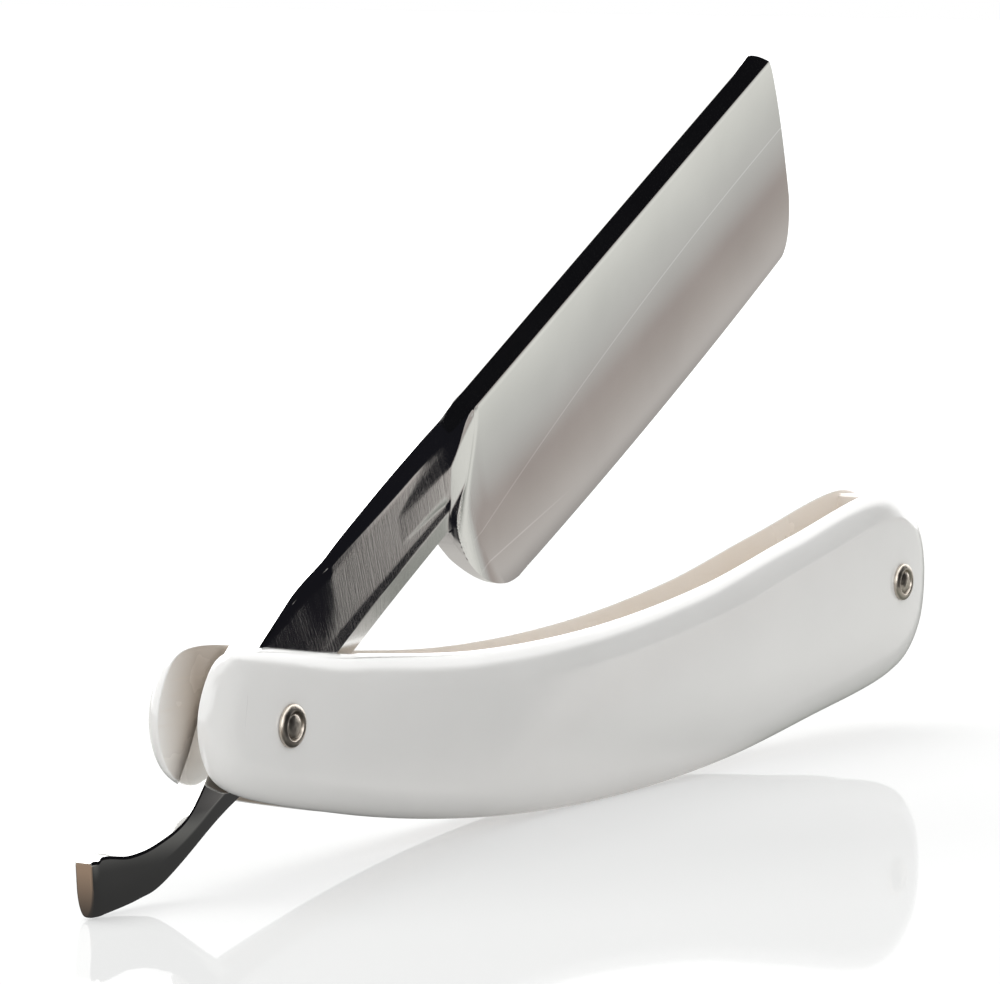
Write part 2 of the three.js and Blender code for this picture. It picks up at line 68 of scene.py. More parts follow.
# Scales: a bar bent along an arc, with a round end at the pivot and a fuller one at the wedge
SCALE_T, SLOT = 2.5, 4.4
SLOT_HALF = SLOT / 2
OUTER = SLOT_HALF + SCALE_T
ARC_R, ARC_LOW = 267.0, 56.0
HALF_PIVOT, HALF_WEDGE = 7.0, 11.15
REACH_PIVOT, REACH_WEDGE = 12.1, 8.1
END_LENGTH, END_UPPER, END_LOWER, END_POWER = 13.1, 10.6, 11.2, 2.3
EDGE_SHARES = (0.1, 0.29, 0.48, 0.67, 0.83)
WEDGE_END_ANGLES = (78, 52, 26, 2, -24, -50, -74)
PIVOT_END_ANGLES = (242, 212, 180, 148, 118)
EDGE_R, EDGE_RUN, EDGE_STEPS = 2.2, 3.3, 15
INNER_ROUND, INNER_STEPS, INNER_BORDER = 0.16, 4, 0.6
FACE_BORDERS = (0.35, 0.8)
EASE_LENGTH, EASE_DEPTH, EASE_SOFT = 17.0, 0.25, 3
OUTLINE_COUNT, CURVE_STEPS = 420, 40
# from, to and step of the planes that divide a scale's flat faces
FACE_CUTS = [(-11, 9, 1.0), (12, 116, 8.0), (117, 134, 1.0)]
WEDGE_LENGTH, WEDGE_INSET, WEDGE_RIM, WEDGE_FRONT_STEPS = 11.4, 0.4, 0.1, 14
SCALE_CREASE, WEDGE_CREASE, BLADE_CREASE = 40, 35, 11

# Pins, collars and washers
PIN_R, PIN_CLEAR, HEAD_R, HEAD_H = 0.75, 0.3, 1.2, 0.42
HOLE_R = PIN_R + PIN_CLEAR
COLLAR_R, COLLAR_RIM, COLLAR_H, SEAT_DEPTH, RING_WIDTH = 2.1, 0.2, 0.62, 0.32, 0.6
COLLAR_FOOT, COLLAR_STEPS = (0.06, 0.05), 14
# inside the ring: how far in and below its top, then how far in and above the seat
LIP_TURN, SEAT_TURN = [(0.05, 0.02), (0.12, 0.1)], [(0.14, 0.06), (0.2, 0.0)]
WASHER_R, WASHER_T, WASHER_EDGE = 2.9, 0.4, 0.05
# a head's foot, as radius and height over its seat, and its dome
HEAD_FOOT = [(PIN_R, -0.02), (HEAD_R - 0.06, 0.01), (HEAD_R, 0.06)]
HEAD_TURN, HEAD_STEPS, HEAD_LIFT, HEAD_TIP_R = 0.14, 16, 0.04, 0.001
DENTS, DENT_SPREAD, DENT_SIZE, DENT_DEPTH, DENTED_FROM = 9, 0.8, (0.28, 0.5), (0.4, 1.0), 0.05
HEAD_SPOKES, COLLAR_SPOKES, HOLE_SPOKES, CUTTER_HALF = 64, 96, 48, 9
COLLAR_CREASE, HEAD_CREASE, WASHER_CREASE = 40, 50, 30

# Blade: s runs along it from the pivot and v across it, up to the spine
REACH, SPINE_H, CROWN, SPINE_TOP, SPINE_HALF, SPINE_FACET = 115.65, 8.7, 0.2, 1.7, 2.9, 1.8
EDGE_DEPTH, EDGE_HALF, EDGE_RISE = 16.8, 0.15, 0.95
HOLLOW_R, HOLLOW_RIM = 120.0, 16.0
TOE_TOP_ROUND, TOE_TOP_DROP, TOE_TOP_LEAN = 5.1, 3.5, 1.15
TOE_EDGE_ROUND, TOE_EDGE_RISE, TOE_EDGE_LEAN, TOE_BULGE = 5.3, 5.6, 0.55, 0.8
HEEL, HEEL_ROUND, HEEL_RISE, HEEL_BELLY = 45.2, 4.0, 1.35, 1.5
HEEL_RIM, HEEL_SLOPE, HEEL_SOFT = 1.05, 0.9, 0.08
BEVEL_HALF, BEVEL_SLOPE = 0.05, 0.9
SHOULDER, SHOULDER_RUN = 38.0, 6.0
TANG_END, TANG_MARGIN = SHOULDER + SHOULDER_RUN, 0.01
# the blade's mesh is in two regions, tang and blade, which meet at the seam
SEAM, SEAM_FADE = SHOULDER - HEEL_BELLY, 0.7
TANG_HALF, TANG_HALF_SH, BAND_HALF, BAND_START, BAND_FULL = 1.7, 1.55, 2.5, 9.0, 15.5
TANG_FACET, TANG_FACET_SH, FACET_INSET, FACET_FOOT = 0.3, 2.3, 0.06, 0.5
TOP_PIVOT, TOP_RISE, BOTTOM_PIVOT, BOTTOM_SH = 6.3, 0.55, 4.4, 2.95
CHAMFER_H, CHAMFER_W, CHAMFER_CURVE, CHAMFER_FADE = 2.2, 0.55, 2.0, 1.5
UNDER_SLOPE, UNDER_REACH = 0.12, 3
FLANK_SWELL, SWELL_START, FLARE_POWER = 0.14, 12, 1.05
# the spine's crown ends short of the toe, and its arrises grow round along the tang
CROWN_POWER, CROWN_START, CROWN_END, CROWN_FADE = 5, 30, REACH - TOE_TOP_ROUND - 3, 4
ARRIS_DROP, ARRIS_FULL = 0.17, BAND_FULL + 10
LEVEL_FROM, LEVEL_TO = TANG_END - 4, TANG_END + 3
# the tail: its tip, the waist and the notch on top, and how its end is drawn in and its arrises are rolled
TAIL, TIP_HALF, TIP_H, TIP_DROP, TIP_LEAN = 29.3, 1.1, 5.2, 0.5, 0.42
WAIST_DROP, TAIL_DEPTH, NOTCH_DEPTH, NOTCH_WIDTH, NOTCH_AT = 0.45, 4.45, 0.3, 0.36, 0.935
TIP_TURN, TIP_SHRINK, TAIL_ROLL, TAIL_ROUND, TAIL_CURVE = 0.9, 0.35, 2.8, 0.9, 1.0
# the shoulder's hollow is short under the pivot's line and long above it, and starts late under the facet
FILLET_START, FILLET_SHORT, FILLET_LATE = 28.0, 1.2, 4.5
FILLET_POWER, FILLET_LOW_POWER = 1.12, 2
FILLET_OPENS, FILLET_CLOSES = (0.1, 1.5), (4.2, 6.0)
# where the shoulder's arris and the rim of the hollow lie, as points of v and s
ARRIS = [(-11, 37.4), (-6.2, 37.1), (-2.8, 37.2), (-0.4, 37.5), (5, 38.9), (10, 40.3)]
RIM = [(-15, 43.6), (-10.8, 41.8), (-6.2, 40.6), (-2.3, 40.4), (3.3, 43.2), (6, 44.0), (10, 44.6)]
RIM_DEPTH, RIM_ROUND, RIM_LIMIT = 0.05, 0.02, 0.99
STRIP_FALL, STRIP_MARGIN, STRIP_SLOPE = 0.16, 0.03, 0.5
# rows of the blade's mesh: below the tang's lower line, from there to the facet, on the facet, over the top
LOW_ROWS, MID_ROWS, FACET_ROWS, TOP_ROWS = 64, 56, 16, 16
EDGE_ROWS, EVEN_ROWS_FROM = [0, 0.012, 0.03], 0.05
# how often a row's ends are fitted again to the curves of heel and toe
LOW_ROUNDS, HIGH_ROUNDS = 6, 8
# its columns: at the tip, to the end of the notch, on to where they are closer, and on to the seam
TIP_COLUMNS, NOTCH_COLUMNS, TANG_COLUMNS, SEAM_COLUMNS = 10, 26, 120, 70
NOTCH_END, CLOSE_FROM = 2.6, 22
# and past the seam: over the shoulder, along the face and at the toe
SHOULDER_COLUMNS, FACE_COLUMNS, TOE_COLUMNS = 110, 110, 30
SHOULDER_SPAN, FACE_SPAN, TOE_SPAN = 15.0, 77.0, 3.6
UV_UNIT = 100
TINY, WELD = 1e-9, 1e-8


# Helpers

def smooth(x, a, b):
    t = np.clip((np.asarray(x, float) - a) / (b - a), 0, 1)
    return t * t * (3 - 2 * t)


def mix(a, b, t):
    return a + (b - a) * t


def soft_least(a, b, width):
    """The lesser of two surfaces, with the arris between them rounded over width."""
    h = np.clip(0.5 + 0.5 * (b - a) / width, 0, 1)
    return mix(b, a, h) - width * h * (1 - h)


def hermite(a, b, leaving, arriving, t):
    """The point at t, from 0 to 1, of the cubic from a to b with these slopes at its ends."""
    bend = (2 * a - 2 * b + leaving + arriving) * t**3
    return bend + (-3 * a + 3 * b - 2 * leaving - arriving) * t * t + leaving * t + a


def add_mesh(name, points, faces, materials=(), face_material=None, uv=None, held=True):
    """A smooth mesh object from points in millimetres, held inside the CAD's box, whose arcs are coarser."""
    places = np.asarray(points, float) * MM
    if held:
        places = np.clip(places, cad_box[0], cad_box[1])
    mesh = bpy.data.meshes.new(name)
    mesh.from_pydata(places.tolist(), [], faces)
    mesh.update()
    for material in materials:
        mesh.materials.append(material)
    if face_material is not None:
        mesh.polygons.foreach_set("material_index", np.asarray(face_material, np.int32))
    if uv is not None:
        layer = mesh.uv_layers.new(name="along")
        loops = np.zeros(len(mesh.loops), np.int32)
        mesh.loops.foreach_get("vertex_index", loops)
        layer.data.foreach_set("uv", np.asarray(uv, np.float32)[loops].ravel())
    ob = bpy.data.objects.new(name, mesh)
    bpy.context.scene.collection.objects.link(ob)
    finish_mesh(ob)
    return ob


def finish_mesh(ob):
    """Joins points that coincide, turns the faces outwards and shades them smooth."""
    bm = bmesh.new()
    bm.from_mesh(ob.data)
    bmesh.ops.remove_doubles(bm, verts=bm.verts, dist=WELD)
    bmesh.ops.recalc_face_normals(bm, faces=bm.faces)
    bm.to_mesh(ob.data)
    bm.free()
    ob.data.polygons.foreach_set("use_smooth", np.ones(len(ob.data.polygons), bool))


def crease(ob, angle):
    """Leaves the edges that turn by more than an angle in degrees sharp."""
    ob.data.set_sharp_from_angle(angle=math.radians(angle))


def cut(ob, cutter):
    """Takes the cutter out of the object, for good."""
    modifier = ob.modifiers.new("cut", "BOOLEAN")
    modifier.operation = "DIFFERENCE"
    modifier.object = cutter
    modifier.solver = "MANIFOLD"
    made = bpy.data.meshes.new_from_object(ob.evaluated_get(bpy.context.evaluated_depsgraph_get()))
    if not made.polygons:
        raise RuntimeError(ob.name + ": the cut left nothing")
    ob.modifiers.remove(modifier)
    old = ob.data
    ob.data = made
    bpy.data.meshes.remove(old)
    bpy.data.objects.remove(cutter)


def ring_faces(rings, count):
    """Faces between closed rings of count points, from each ring to the next."""
    faces = []
    for start in range(0, (rings - 1) * count, count):
        for i in range(count):
            j = (i + 1) % count
            faces.append([start + i, start + j, start + count + j, start + count + i])
    return faces


def lathe(profile, spokes):
    """Points and faces of a turned surface, from a profile of radius and height along Y."""
    turns = np.linspace(0, math.tau, spokes, False)
    points = [(r * math.cos(a), y, r * math.sin(a)) for r, y in profile for a in turns]
    return np.array(points, float), ring_faces(len(profile), spokes)


def bore(ob, places):
    """Cuts pin holes along Y at places from the pivot."""
    for x, z in places:
        points, faces = lathe([(HOLE_R, -CUTTER_HALF), (HOLE_R, CUTTER_HALF)], HOLE_SPOKES)
        faces += [list(range(HOLE_SPOKES))[::-1], list(range(HOLE_SPOKES, 2 * HOLE_SPOKES))]
        points += (PIVOT_X + x, 0, PIVOT_Z + z)
        cut(ob, add_mesh("pin_cutter", points, faces, held=False))


# Scales

def arc_drop(distance):
    return ARC_R - math.sqrt(ARC_R**2 - distance**2)


def scale_middle(x):
    return arc_drop(x - ARC_LOW) - arc_drop(ARC_LOW)


def scale_edge(x, side):
    lean = math.asin((x - ARC_LOW) / ARC_R)
    along = (x + REACH_PIVOT) / (PIN_SPACING + REACH_PIVOT)
    across = side * mix(HALF_PIVOT, HALF_WEDGE, along)
    return (x - across * math.sin(lean), scale_middle(x) + across * math.cos(lean))


def closed_curve(points, count):
    """A closed centripetal Catmull-Rom curve through points, read at count evenly spaced places."""
    points = np.asarray(points, float)
    n = len(points)
    out = []
    for i in range(n):
        p = [points[(i + k - 1) % n] for k in range(4)]
        step = [np.hypot(*(p[k + 1] - p[k])) ** 0.5 for k in range(3)]
        slope = [(p[k + 1] - p[k]) / step[k] for k in range(3)]
        leaving = (slope[0] - (p[2] - p[0]) / (step[0] + step[1]) + slope[1]) * step[1]
        arriving = (slope[1] - (p[3] - p[1]) / (step[1] + step[2]) + slope[2]) * step[1]
        for t in np.linspace(0, 1, CURVE_STEPS, False):
            out.append(hermite(p[1], p[2], leaving, arriving, t))
    closed = np.array(out + out[:1])
    length = np.concatenate([[0], np.cumsum(np.hypot(*np.diff(closed, axis=0).T))])
    at = np.linspace(0, length[-1], count, False)
    return np.stack([np.interp(at, length, closed[:, k]) for k in (0, 1)], 1)


def scale_outline():
    """The scale's outline from above the pivot round by the wedge's end, as points from the pivot."""
    points = [scale_edge(share * PIN_SPACING, 1) for share in EDGE_SHARES]
    end_x = PIN_SPACING + REACH_WEDGE - END_LENGTH
    for angle in WEDGE_END_ANGLES:
        a = math.radians(angle)
        reach = abs(math.cos(a)) ** (2 / END_POWER)
        rise = math.copysign(abs(math.sin(a)) ** (2 / END_POWER), angle)
        half = END_UPPER if angle > 0 else END_LOWER
        points.append((end_x + END_LENGTH * reach, WEDGE_RISE + half * rise))
    points += [scale_edge(share * PIN_SPACING, -1) for share in EDGE_SHARES[::-1]]
    pivot_x = HALF_PIVOT - REACH_PIVOT
    for angle in PIVOT_END_ANGLES:
        a = math.radians(angle)
        points.append((pivot_x + HALF_PIVOT * math.cos(a), scale_middle(pivot_x) + HALF_PIVOT * math.sin(a)))
    return closed_curve(points, OUTLINE_COUNT)


def drawn_in(outline, distance):
    before, after = np.roll(outline, 1, 0), np.roll(outline, -1, 0)
    along = after - before
    along /= np.hypot(*along.T)[:, None]
    return outline + np.stack([along[:, 1], -along[:, 0]], 1) * distance


def eased(x):
    """How far the outer face of a scale falls away towards its ends."""
    past = np.stack([EASE_LENGTH - REACH_PIVOT - x, x - (PIN_SPACING + REACH_WEDGE - EASE_LENGTH)])
    bend = (past + EASE_SOFT) ** 2 / (4 * EASE_SOFT)
    fall = np.where(past < -EASE_SOFT, 0, np.where(past > EASE_SOFT, past, bend))
    return fall.sum(0) * EASE_DEPTH / EASE_LENGTH


def scale_rings():
    """The rings of points around a scale: how far inside its outline each lies, and its height."""
    rings = []
    # the inner arris, a hair rounded
    for turn in np.linspace(0, math.pi / 2, INNER_STEPS):
        rings.append((INNER_ROUND * (1 - math.sin(turn)), SLOT_HALF + INNER_ROUND * (1 - math.cos(turn))))
    # the flank and the rolled outer edge, then the border of the outer face
    for turn in np.linspace(0, math.pi / 2, EDGE_STEPS):
        rings.append((EDGE_RUN * (1 - math.cos(turn)), OUTER - EDGE_R * (1 - math.sin(turn))))
    return rings + [(EDGE_RUN + border, OUTER) for border in FACE_BORDERS]


def divide_across(ob):
    """Divides the flat faces across, so that the outer one can bend towards its ends."""
    bm = bmesh.new()
    bm.from_mesh(ob.data)
    for x in np.concatenate([np.arange(*run) for run in FACE_CUTS]):
        whole = [*bm.verts, *bm.edges, *bm.faces]
        place = ((PIVOT_X + x) * MM, 0, 0)
        bmesh.ops.bisect_plane(bm, geom=whole, dist=TINY, plane_co=place, plane_no=(1, 0, 0))
    bm.to_mesh(ob.data)
    bm.free()


def scale_mesh(name, side, outer, inner):
    count = OUTLINE_COUNT
    outline = scale_outline()
    rings = scale_rings()
    points = []
    for inward, y in rings:
        ring = drawn_in(outline, inward)
        height = y - eased(ring[:, 0]) * np.clip((y - SLOT_HALF) / SCALE_T, 0, 1)
        points += [(px, h, pz) for (px, pz), h in zip(ring, height)]
    border = len(points)
    points += [(px, SLOT_HALF, pz) for px, pz in drawn_in(outline, INNER_BORDER)]
    faces = ring_faces(len(rings), count)
    material = [1] * count + [0] * (len(faces) - count)
    # the inner face with its border, and the outer face
    faces += [[border + i, border + (i + 1) % count, (i + 1) % count, i] for i in range(count)]
    faces += [list(range(border, border + count)), list(range(border - count, border))]
    material += [1] * (count + 1) + [0]
    points = np.array(points) * (1, side, 1) + (PIVOT_X, 0, PIVOT_Z)
    ob = add_mesh(name, points, faces, (outer, inner), material)
    divide_across(ob)
    bore(ob, [(0, 0), (PIN_SPACING, WEDGE_RISE)])
    crease(ob, SCALE_CREASE)
    return ob


# Blade

def spline_line(points, at):
    """A uniform Catmull-Rom line through points: its second coordinate where the first is at."""
    points = np.asarray(points, float)
    n = len(points)
    found = []
    for i in range(n - 1):
        before, start, end, after = points[[max(i - 1, 0), i, i + 1, min(i + 2, n - 1)]]
        leaving, arriving = (end - before) / 2, (after - start) / 2
        for t in np.linspace(0, 1, CURVE_STEPS, i == n - 2):
            found.append(hermite(start, end, leaving, arriving, t))
    found = np.array(found)
    return np.interp(at, found[:, 0], found[:, 1])


UPPER = [
    (-TAIL - TIP_H, TIP_H - TIP_DROP), (-TAIL * 0.95, TIP_H - TIP_DROP), (-TAIL * 0.79, TIP_H / 3),
    (-TAIL * 0.65, WAIST_DROP / 3), (-TAIL * 0.48, -WAIST_DROP), (-TAIL * 0.3, TOP_PIVOT / 4),
    (-TAIL * 0.15, 2 * TOP_PIVOT / 3), (0, TOP_PIVOT), (SHOULDER * 0.17, (TOP_PIVOT + SPINE_H) / 2),
    (SHOULDER * 0.4, SPINE_H), (SHOULDER * 0.58, SPINE_H + 0.75 * TOP_RISE),
    (SHOULDER * 0.79, SPINE_H + TOP_RISE), (SHOULDER, SPINE_H + 0.75 * TOP_RISE), (TANG_END + 1, SPINE_H),
]
LOWER = [
    (-TAIL - TIP_H, TIP_H / 2), (-TAIL - TIP_DROP, -TIP_DROP), (-TAIL * 0.95, -3 * TIP_DROP),
    (-TAIL * 0.79, 2 * TIP_DROP - TAIL_DEPTH), (-TAIL * 0.65, -TAIL_DEPTH), (-TAIL * 0.3, -TAIL_DEPTH),
    (0, -BOTTOM_PIVOT), (SHOULDER * 0.58, (-BOTTOM_PIVOT - 3 * BOTTOM_SH) / 4), (SHOULDER, -BOTTOM_SH),
    (TANG_END, -BOTTOM_SH),
]


def upper_line(s):
    line = mix(spline_line(UPPER, s), SPINE_H, smooth(s, LEVEL_FROM, LEVEL_TO))
    return line - NOTCH_DEPTH * np.exp(-(((s + TAIL * NOTCH_AT) / NOTCH_WIDTH) ** 2))


def lower_line(s):
    return spline_line(LOWER, s)


def quad_curve(start, bend, end, n=60):
    t = np.linspace(0, 1, n)[:, None]
    start, bend, end = (np.asarray(p, float) for p in (start, bend, end))
    return (1 - t) ** 2 * start + 2 * t * (1 - t) * bend + t * t * end


CROWN_TOP = SPINE_H + CROWN
EDGE_END = EDGE_RISE / 4 - EDGE_DEPTH
HEEL_END = EDGE_RISE - EDGE_DEPTH
TOE_TOP, TOE_FOOT = REACH - TOE_TOP_LEAN, REACH - TOE_EDGE_LEAN
TOE_UPPER, TOE_LOWER = (TOE_TOP, CROWN_TOP - TOE_TOP_DROP), (TOE_FOOT, EDGE_END + TOE_EDGE_RISE)
EDGE_TOE, EDGE_HEEL = (TOE_FOOT - TOE_EDGE_ROUND, EDGE_END), (HEEL + HEEL_ROUND, HEEL_END)
HEEL_CORNER = (HEEL - HEEL_ROUND / 4, HEEL_END + HEEL_RISE)
TOE = np.vstack([
    quad_curve((REACH - TOE_TOP_ROUND, CROWN_TOP), (TOE_TOP - TOE_TOP_LEAN, CROWN_TOP), TOE_UPPER),
    quad_curve(TOE_UPPER, (REACH + TOE_BULGE, EDGE_END / 8), TOE_LOWER),
    quad_curve(TOE_LOWER, (TOE_FOOT - 3 * TOE_EDGE_LEAN, EDGE_END), EDGE_TOE),
])
CUTTING = quad_curve(EDGE_TOE, ((TOE_FOOT + HEEL) / 2, -EDGE_DEPTH - EDGE_RISE / 2), EDGE_HEEL)
HEEL_LINE = np.vstack([
    quad_curve(EDGE_HEEL, (HEEL + HEEL_ROUND / 4, HEEL_END), HEEL_CORNER),
    quad_curve(HEEL_CORNER, (SHOULDER + HEEL_BELLY, (2 * HEEL_END - BOTTOM_SH) / 3), (SEAM, -BOTTOM_SH)),
])


def read_curve(curve, at, known, wanted):
    """The wanted coordinate of a curve, 0 or 1, where the known one is at."""
    order = np.argsort(curve[:, known])
    return np.interp(at, curve[order, known], curve[order, wanted])


def toe_at(v):
    return read_curve(TOE, v, 1, 0)


def heel_at(v):
    return read_curve(HEEL_LINE, v, 1, 0)


def edge_at(s):
    return read_curve(CUTTING, s, 0, 1)


def facet_height(s):
    on_tang = mix(TANG_FACET, TANG_FACET_SH, smooth(s, 0, SHOULDER - SHOULDER_RUN))
    return mix(on_tang, SPINE_FACET, smooth(s, SHOULDER, TANG_END))


def in_tail(s):
    """0 on the tang, rising to 1 along the first half of the tail."""
    return smooth(-s, 0, TAIL / 2)


def lean_reach(s):
    """How far the cross-section's top lies ahead of its middle, where the tail's sections lean."""
    return TIP_LEAN * in_tail(s) * TIP_H / 2


def tip_shrink(s):
    """How much the tail's end draws in towards its middle."""
    turn = np.clip((TIP_TURN - TAIL - s) / TIP_TURN, 0, 1)
    return TIP_SHRINK * (1 - np.sqrt(1 - turn**2))


def top_drop(s):
    """How far the facet ends below the crown of the spine, to leave a rounded arris."""
    end = np.clip((s - CROWN_END) / CROWN_FADE, 0, 1)
    return ARRIS_DROP * smooth(s, BAND_START, ARRIS_FULL) * (1 - end)


def shouldered(s, v, web, flat):
    """The flank rises in a long hollow to the shoulder's arris, but low down it keeps to its own plane."""
    arris = spline_line(ARRIS, v)
    opened = smooth(v, *FILLET_OPENS)
    start = mix(arris - FILLET_SHORT, FILLET_START, opened) + FILLET_LATE * smooth(v, *FILLET_CLOSES)
    t = np.clip((s - start) / (arris - start), 0, 1)
    return mix(web, np.maximum(flat, web), t ** mix(FILLET_LOW_POWER, FILLET_POWER, opened))


def stock_and_sag(s, v):
    """Half thickness of the straight-sided stock, and how far the grinding wheel has hollowed it."""
    foot = upper_line(s) - facet_height(s)
    edge = edge_at(s)
    a = np.clip((v - edge) / (foot - edge), 0, 1)
    stock = EDGE_HALF + (SPINE_HALF - EDGE_HALF) * a
    return stock, (foot - edge) ** 2 / (2 * HOLLOW_R) * a * (1 - a)


def face_flat(s, v):
    """The plain strip between the shoulder's arris and the rim of the hollow, and on beyond it as a limit."""
    stock, sag = stock_and_sag(s, v)
    arris, rim = spline_line(ARRIS, v), spline_line(RIM, v)
    across = np.clip((s - arris) / (rim - arris), 0, 1)
    strip = stock - sag + RIM_DEPTH + STRIP_FALL * (1 - across)
    return np.minimum(strip, stock - STRIP_MARGIN) + STRIP_SLOPE * np.clip(s - rim, 0, None)


def tang_half(s, height):
    """Half thickness of the tang or tail at a height above its lower line."""
    tail = in_tail(s)
    reach = lean_reach(s)
    widening = smooth(s, BAND_START, BAND_FULL)
    sinking = smooth(s, SHOULDER, TANG_END)
    high, low = upper_line(s + reach), lower_line(s - reach)
    tall = np.hypot(2 * reach, high - low)
    facet = facet_height(s)
    flank = mix(TANG_HALF, TANG_HALF_SH, widening) + FLANK_SWELL * smooth(s, SWELL_START, SHOULDER)
    side = mix(flank, TIP_HALF, smooth(-s, 0, TAIL))
    foot_half = mix(mix(side, BAND_HALF, widening), SPINE_HALF, sinking)
    top_half = mix(foot_half - FACET_INSET, SPINE_TOP, sinking)
    flare = np.clip((height + low) / (tall + low - facet), 0, 1) ** FLARE_POWER * widening
    # the lower arris is rolled under
    roll = mix(CHAMFER_W, side * TAIL_ROUND, tail)
    power = mix(CHAMFER_CURVE, TAIL_CURVE, tail)
    c = (1 - np.clip(height / mix(CHAMFER_H, TAIL_ROLL, tail), 0, 1)) ** (1 / power)
    out = np.sqrt(np.clip(1 - c * c, 0, 1)) ** power
    half = mix(side, foot_half, flare) - roll * (1 - out)
    up_facet = np.clip((height - (tall - facet)) / facet, 0, 1)
    half = np.where(height > tall - facet, mix(foot_half, top_half, up_facet), half)
    return half * (1 - tip_shrink(s))


def blade_half(s, v):
    """Half thickness of the blade from the shoulder on, at a distance along it and a height."""
    top = upper_line(s)
    foot = top - facet_height(s)
    stock, sag = stock_and_sag(s, v)
    # the tang's flank runs on under the shoulder, with its chamfer dying out
    on_tang = np.minimum(s, TANG_END - TANG_MARGIN)
    chamfered = tang_half(on_tang, np.clip(v + BOTTOM_SH, 0, None))
    plain = tang_half(on_tang, np.clip(v + BOTTOM_SH, CHAMFER_H, None))
    web = mix(chamfered, plain, smooth(s, SEAM, SEAM + CHAMFER_FADE))
    web = web - UNDER_SLOPE * np.clip(-BOTTOM_SH - v, 0, UNDER_REACH)
    sinking = smooth(s, SHOULDER, TANG_END)
    foot_half = mix(BAND_HALF, SPINE_HALF, sinking)
    wall = shouldered(s, v, web, np.minimum(face_flat(s, v), foot_half))
    # beyond the rim the wheel has hollowed the face
    run = math.sqrt(2 * HOLLOW_RIM * RIM_DEPTH - RIM_DEPTH**2)
    back = np.clip(spline_line(RIM, v) + run - s, 0, HOLLOW_RIM * RIM_LIMIT)
    rim = stock - sag + HOLLOW_RIM - np.sqrt(HOLLOW_RIM**2 - back**2)
    body = np.minimum(soft_least(wall, rim, RIM_ROUND), foot_half)
    # under the facet the flank runs out to the facet's foot within a short height
    body = mix(body, foot_half, smooth(v, foot - FACET_FOOT, foot))
    up_facet = np.clip((v - foot) / (top - foot), 0, 1)
    top_half = mix(BAND_HALF - FACET_INSET, SPINE_TOP, sinking)
    body = np.where(v >= foot - TINY, mix(foot_half, top_half, up_facet), body)
    # the heel's rim is thinned, and the cutting edge bevelled
    heel_rim = HEEL_RIM + HEEL_SLOPE * np.clip(s - heel_at(v), 0, None)
    body = np.where(v < -BOTTOM_SH, soft_least(body, heel_rim, HEEL_SOFT), body)
    return np.minimum(body, BEVEL_HALF + BEVEL_SLOPE * np.clip(v - edge_at(s), 0, None))


def blade_columns():
    """Shares of the way from the seam to the toe: close over the shoulder and at the toe, wider between."""
    columns = np.concatenate([
        np.linspace(0, SHOULDER_SPAN, SHOULDER_COLUMNS),
        np.linspace(SHOULDER_SPAN, FACE_SPAN, FACE_COLUMNS)[1:],
        FACE_SPAN + TOE_SPAN * np.linspace(0, 1, TOE_COLUMNS)[1:],
    ])
    return columns / columns[-1]


def tang_columns():
    """Places along the tail and tang, close at the tip, the notch and the shoulder."""
    turns = np.linspace(0, math.pi / 2, TIP_COLUMNS)
    return np.concatenate([
        -TAIL + TIP_TURN * (1 - np.cos(turns))[:-1],
        np.linspace(TIP_TURN - TAIL, NOTCH_END - TAIL, NOTCH_COLUMNS)[:-1],
        np.linspace(NOTCH_END - TAIL, CLOSE_FROM, TANG_COLUMNS)[:-1],
        np.linspace(CLOSE_FROM, SEAM, SEAM_COLUMNS),
    ])


def mid_shares():
    """Shares of the height from the lower line to the facet, closer together low down."""
    share = np.linspace(0, 1, MID_ROWS + 1)
    return 0.5 * share + 0.5 * share**2


def tang_grid():
    """Distances, heights and half thicknesses of the points on one side of the tail and tang."""
    columns = tang_columns()
    reach = lean_reach(columns)
    ahead, behind = columns + reach, columns - reach
    top, low, drop = upper_line(ahead), lower_line(behind), top_drop(ahead)
    tall = np.hypot(ahead - behind, top - low)
    facet = facet_height(columns)
    up_facet = np.linspace(0, 1, FACET_ROWS + 1)[1:, None]
    heights = np.vstack([mid_shares()[:, None] * (tall - facet), tall - facet + up_facet * (facet - drop)])
    half = tang_half(np.broadcast_to(columns, heights.shape), heights)
    share = mix(heights, tall / 2, tip_shrink(columns) / 4) / (tall - drop)
    s, v = mix(behind, ahead, share), mix(low, top - drop, share)
    risen = shouldered(s, v, half, np.minimum(face_flat(s, v), BAND_HALF))
    near_shoulder = (heights < tall - facet - TINY) & (s > FILLET_START - 1)
    return s, v, np.where(near_shoulder, risen, half)


def low_row(share, columns):
    """A row of points on the blade: a share of the way from the cutting edge to the tang's lower line."""
    v = np.full(len(columns), mix(-EDGE_DEPTH, -BOTTOM_SH, share))
    for _ in range(LOW_ROUNDS):
        s = mix(heel_at(v[0]), toe_at(v[-1]), columns)
        v = mix(edge_at(s), -BOTTOM_SH, share)
    return s, v


def high_row(k, columns):
    """The blade's row of points that carries on the tang's row k, up to the facet or on it."""
    s = mix(SEAM, REACH, columns)
    for _ in range(HIGH_ROUNDS):
        foot = upper_line(s) - facet_height(s)
        if k <= MID_ROWS:
            base = np.where(s < TANG_END, lower_line(s), -BOTTOM_SH)
            v = base + (foot - base) * mid_shares()[k]
        else:
            v = foot + (upper_line(s) - top_drop(s) - foot) * (k - MID_ROWS) / FACET_ROWS
        s = mix(SEAM, toe_at(v[-1]), columns)
    return s, v


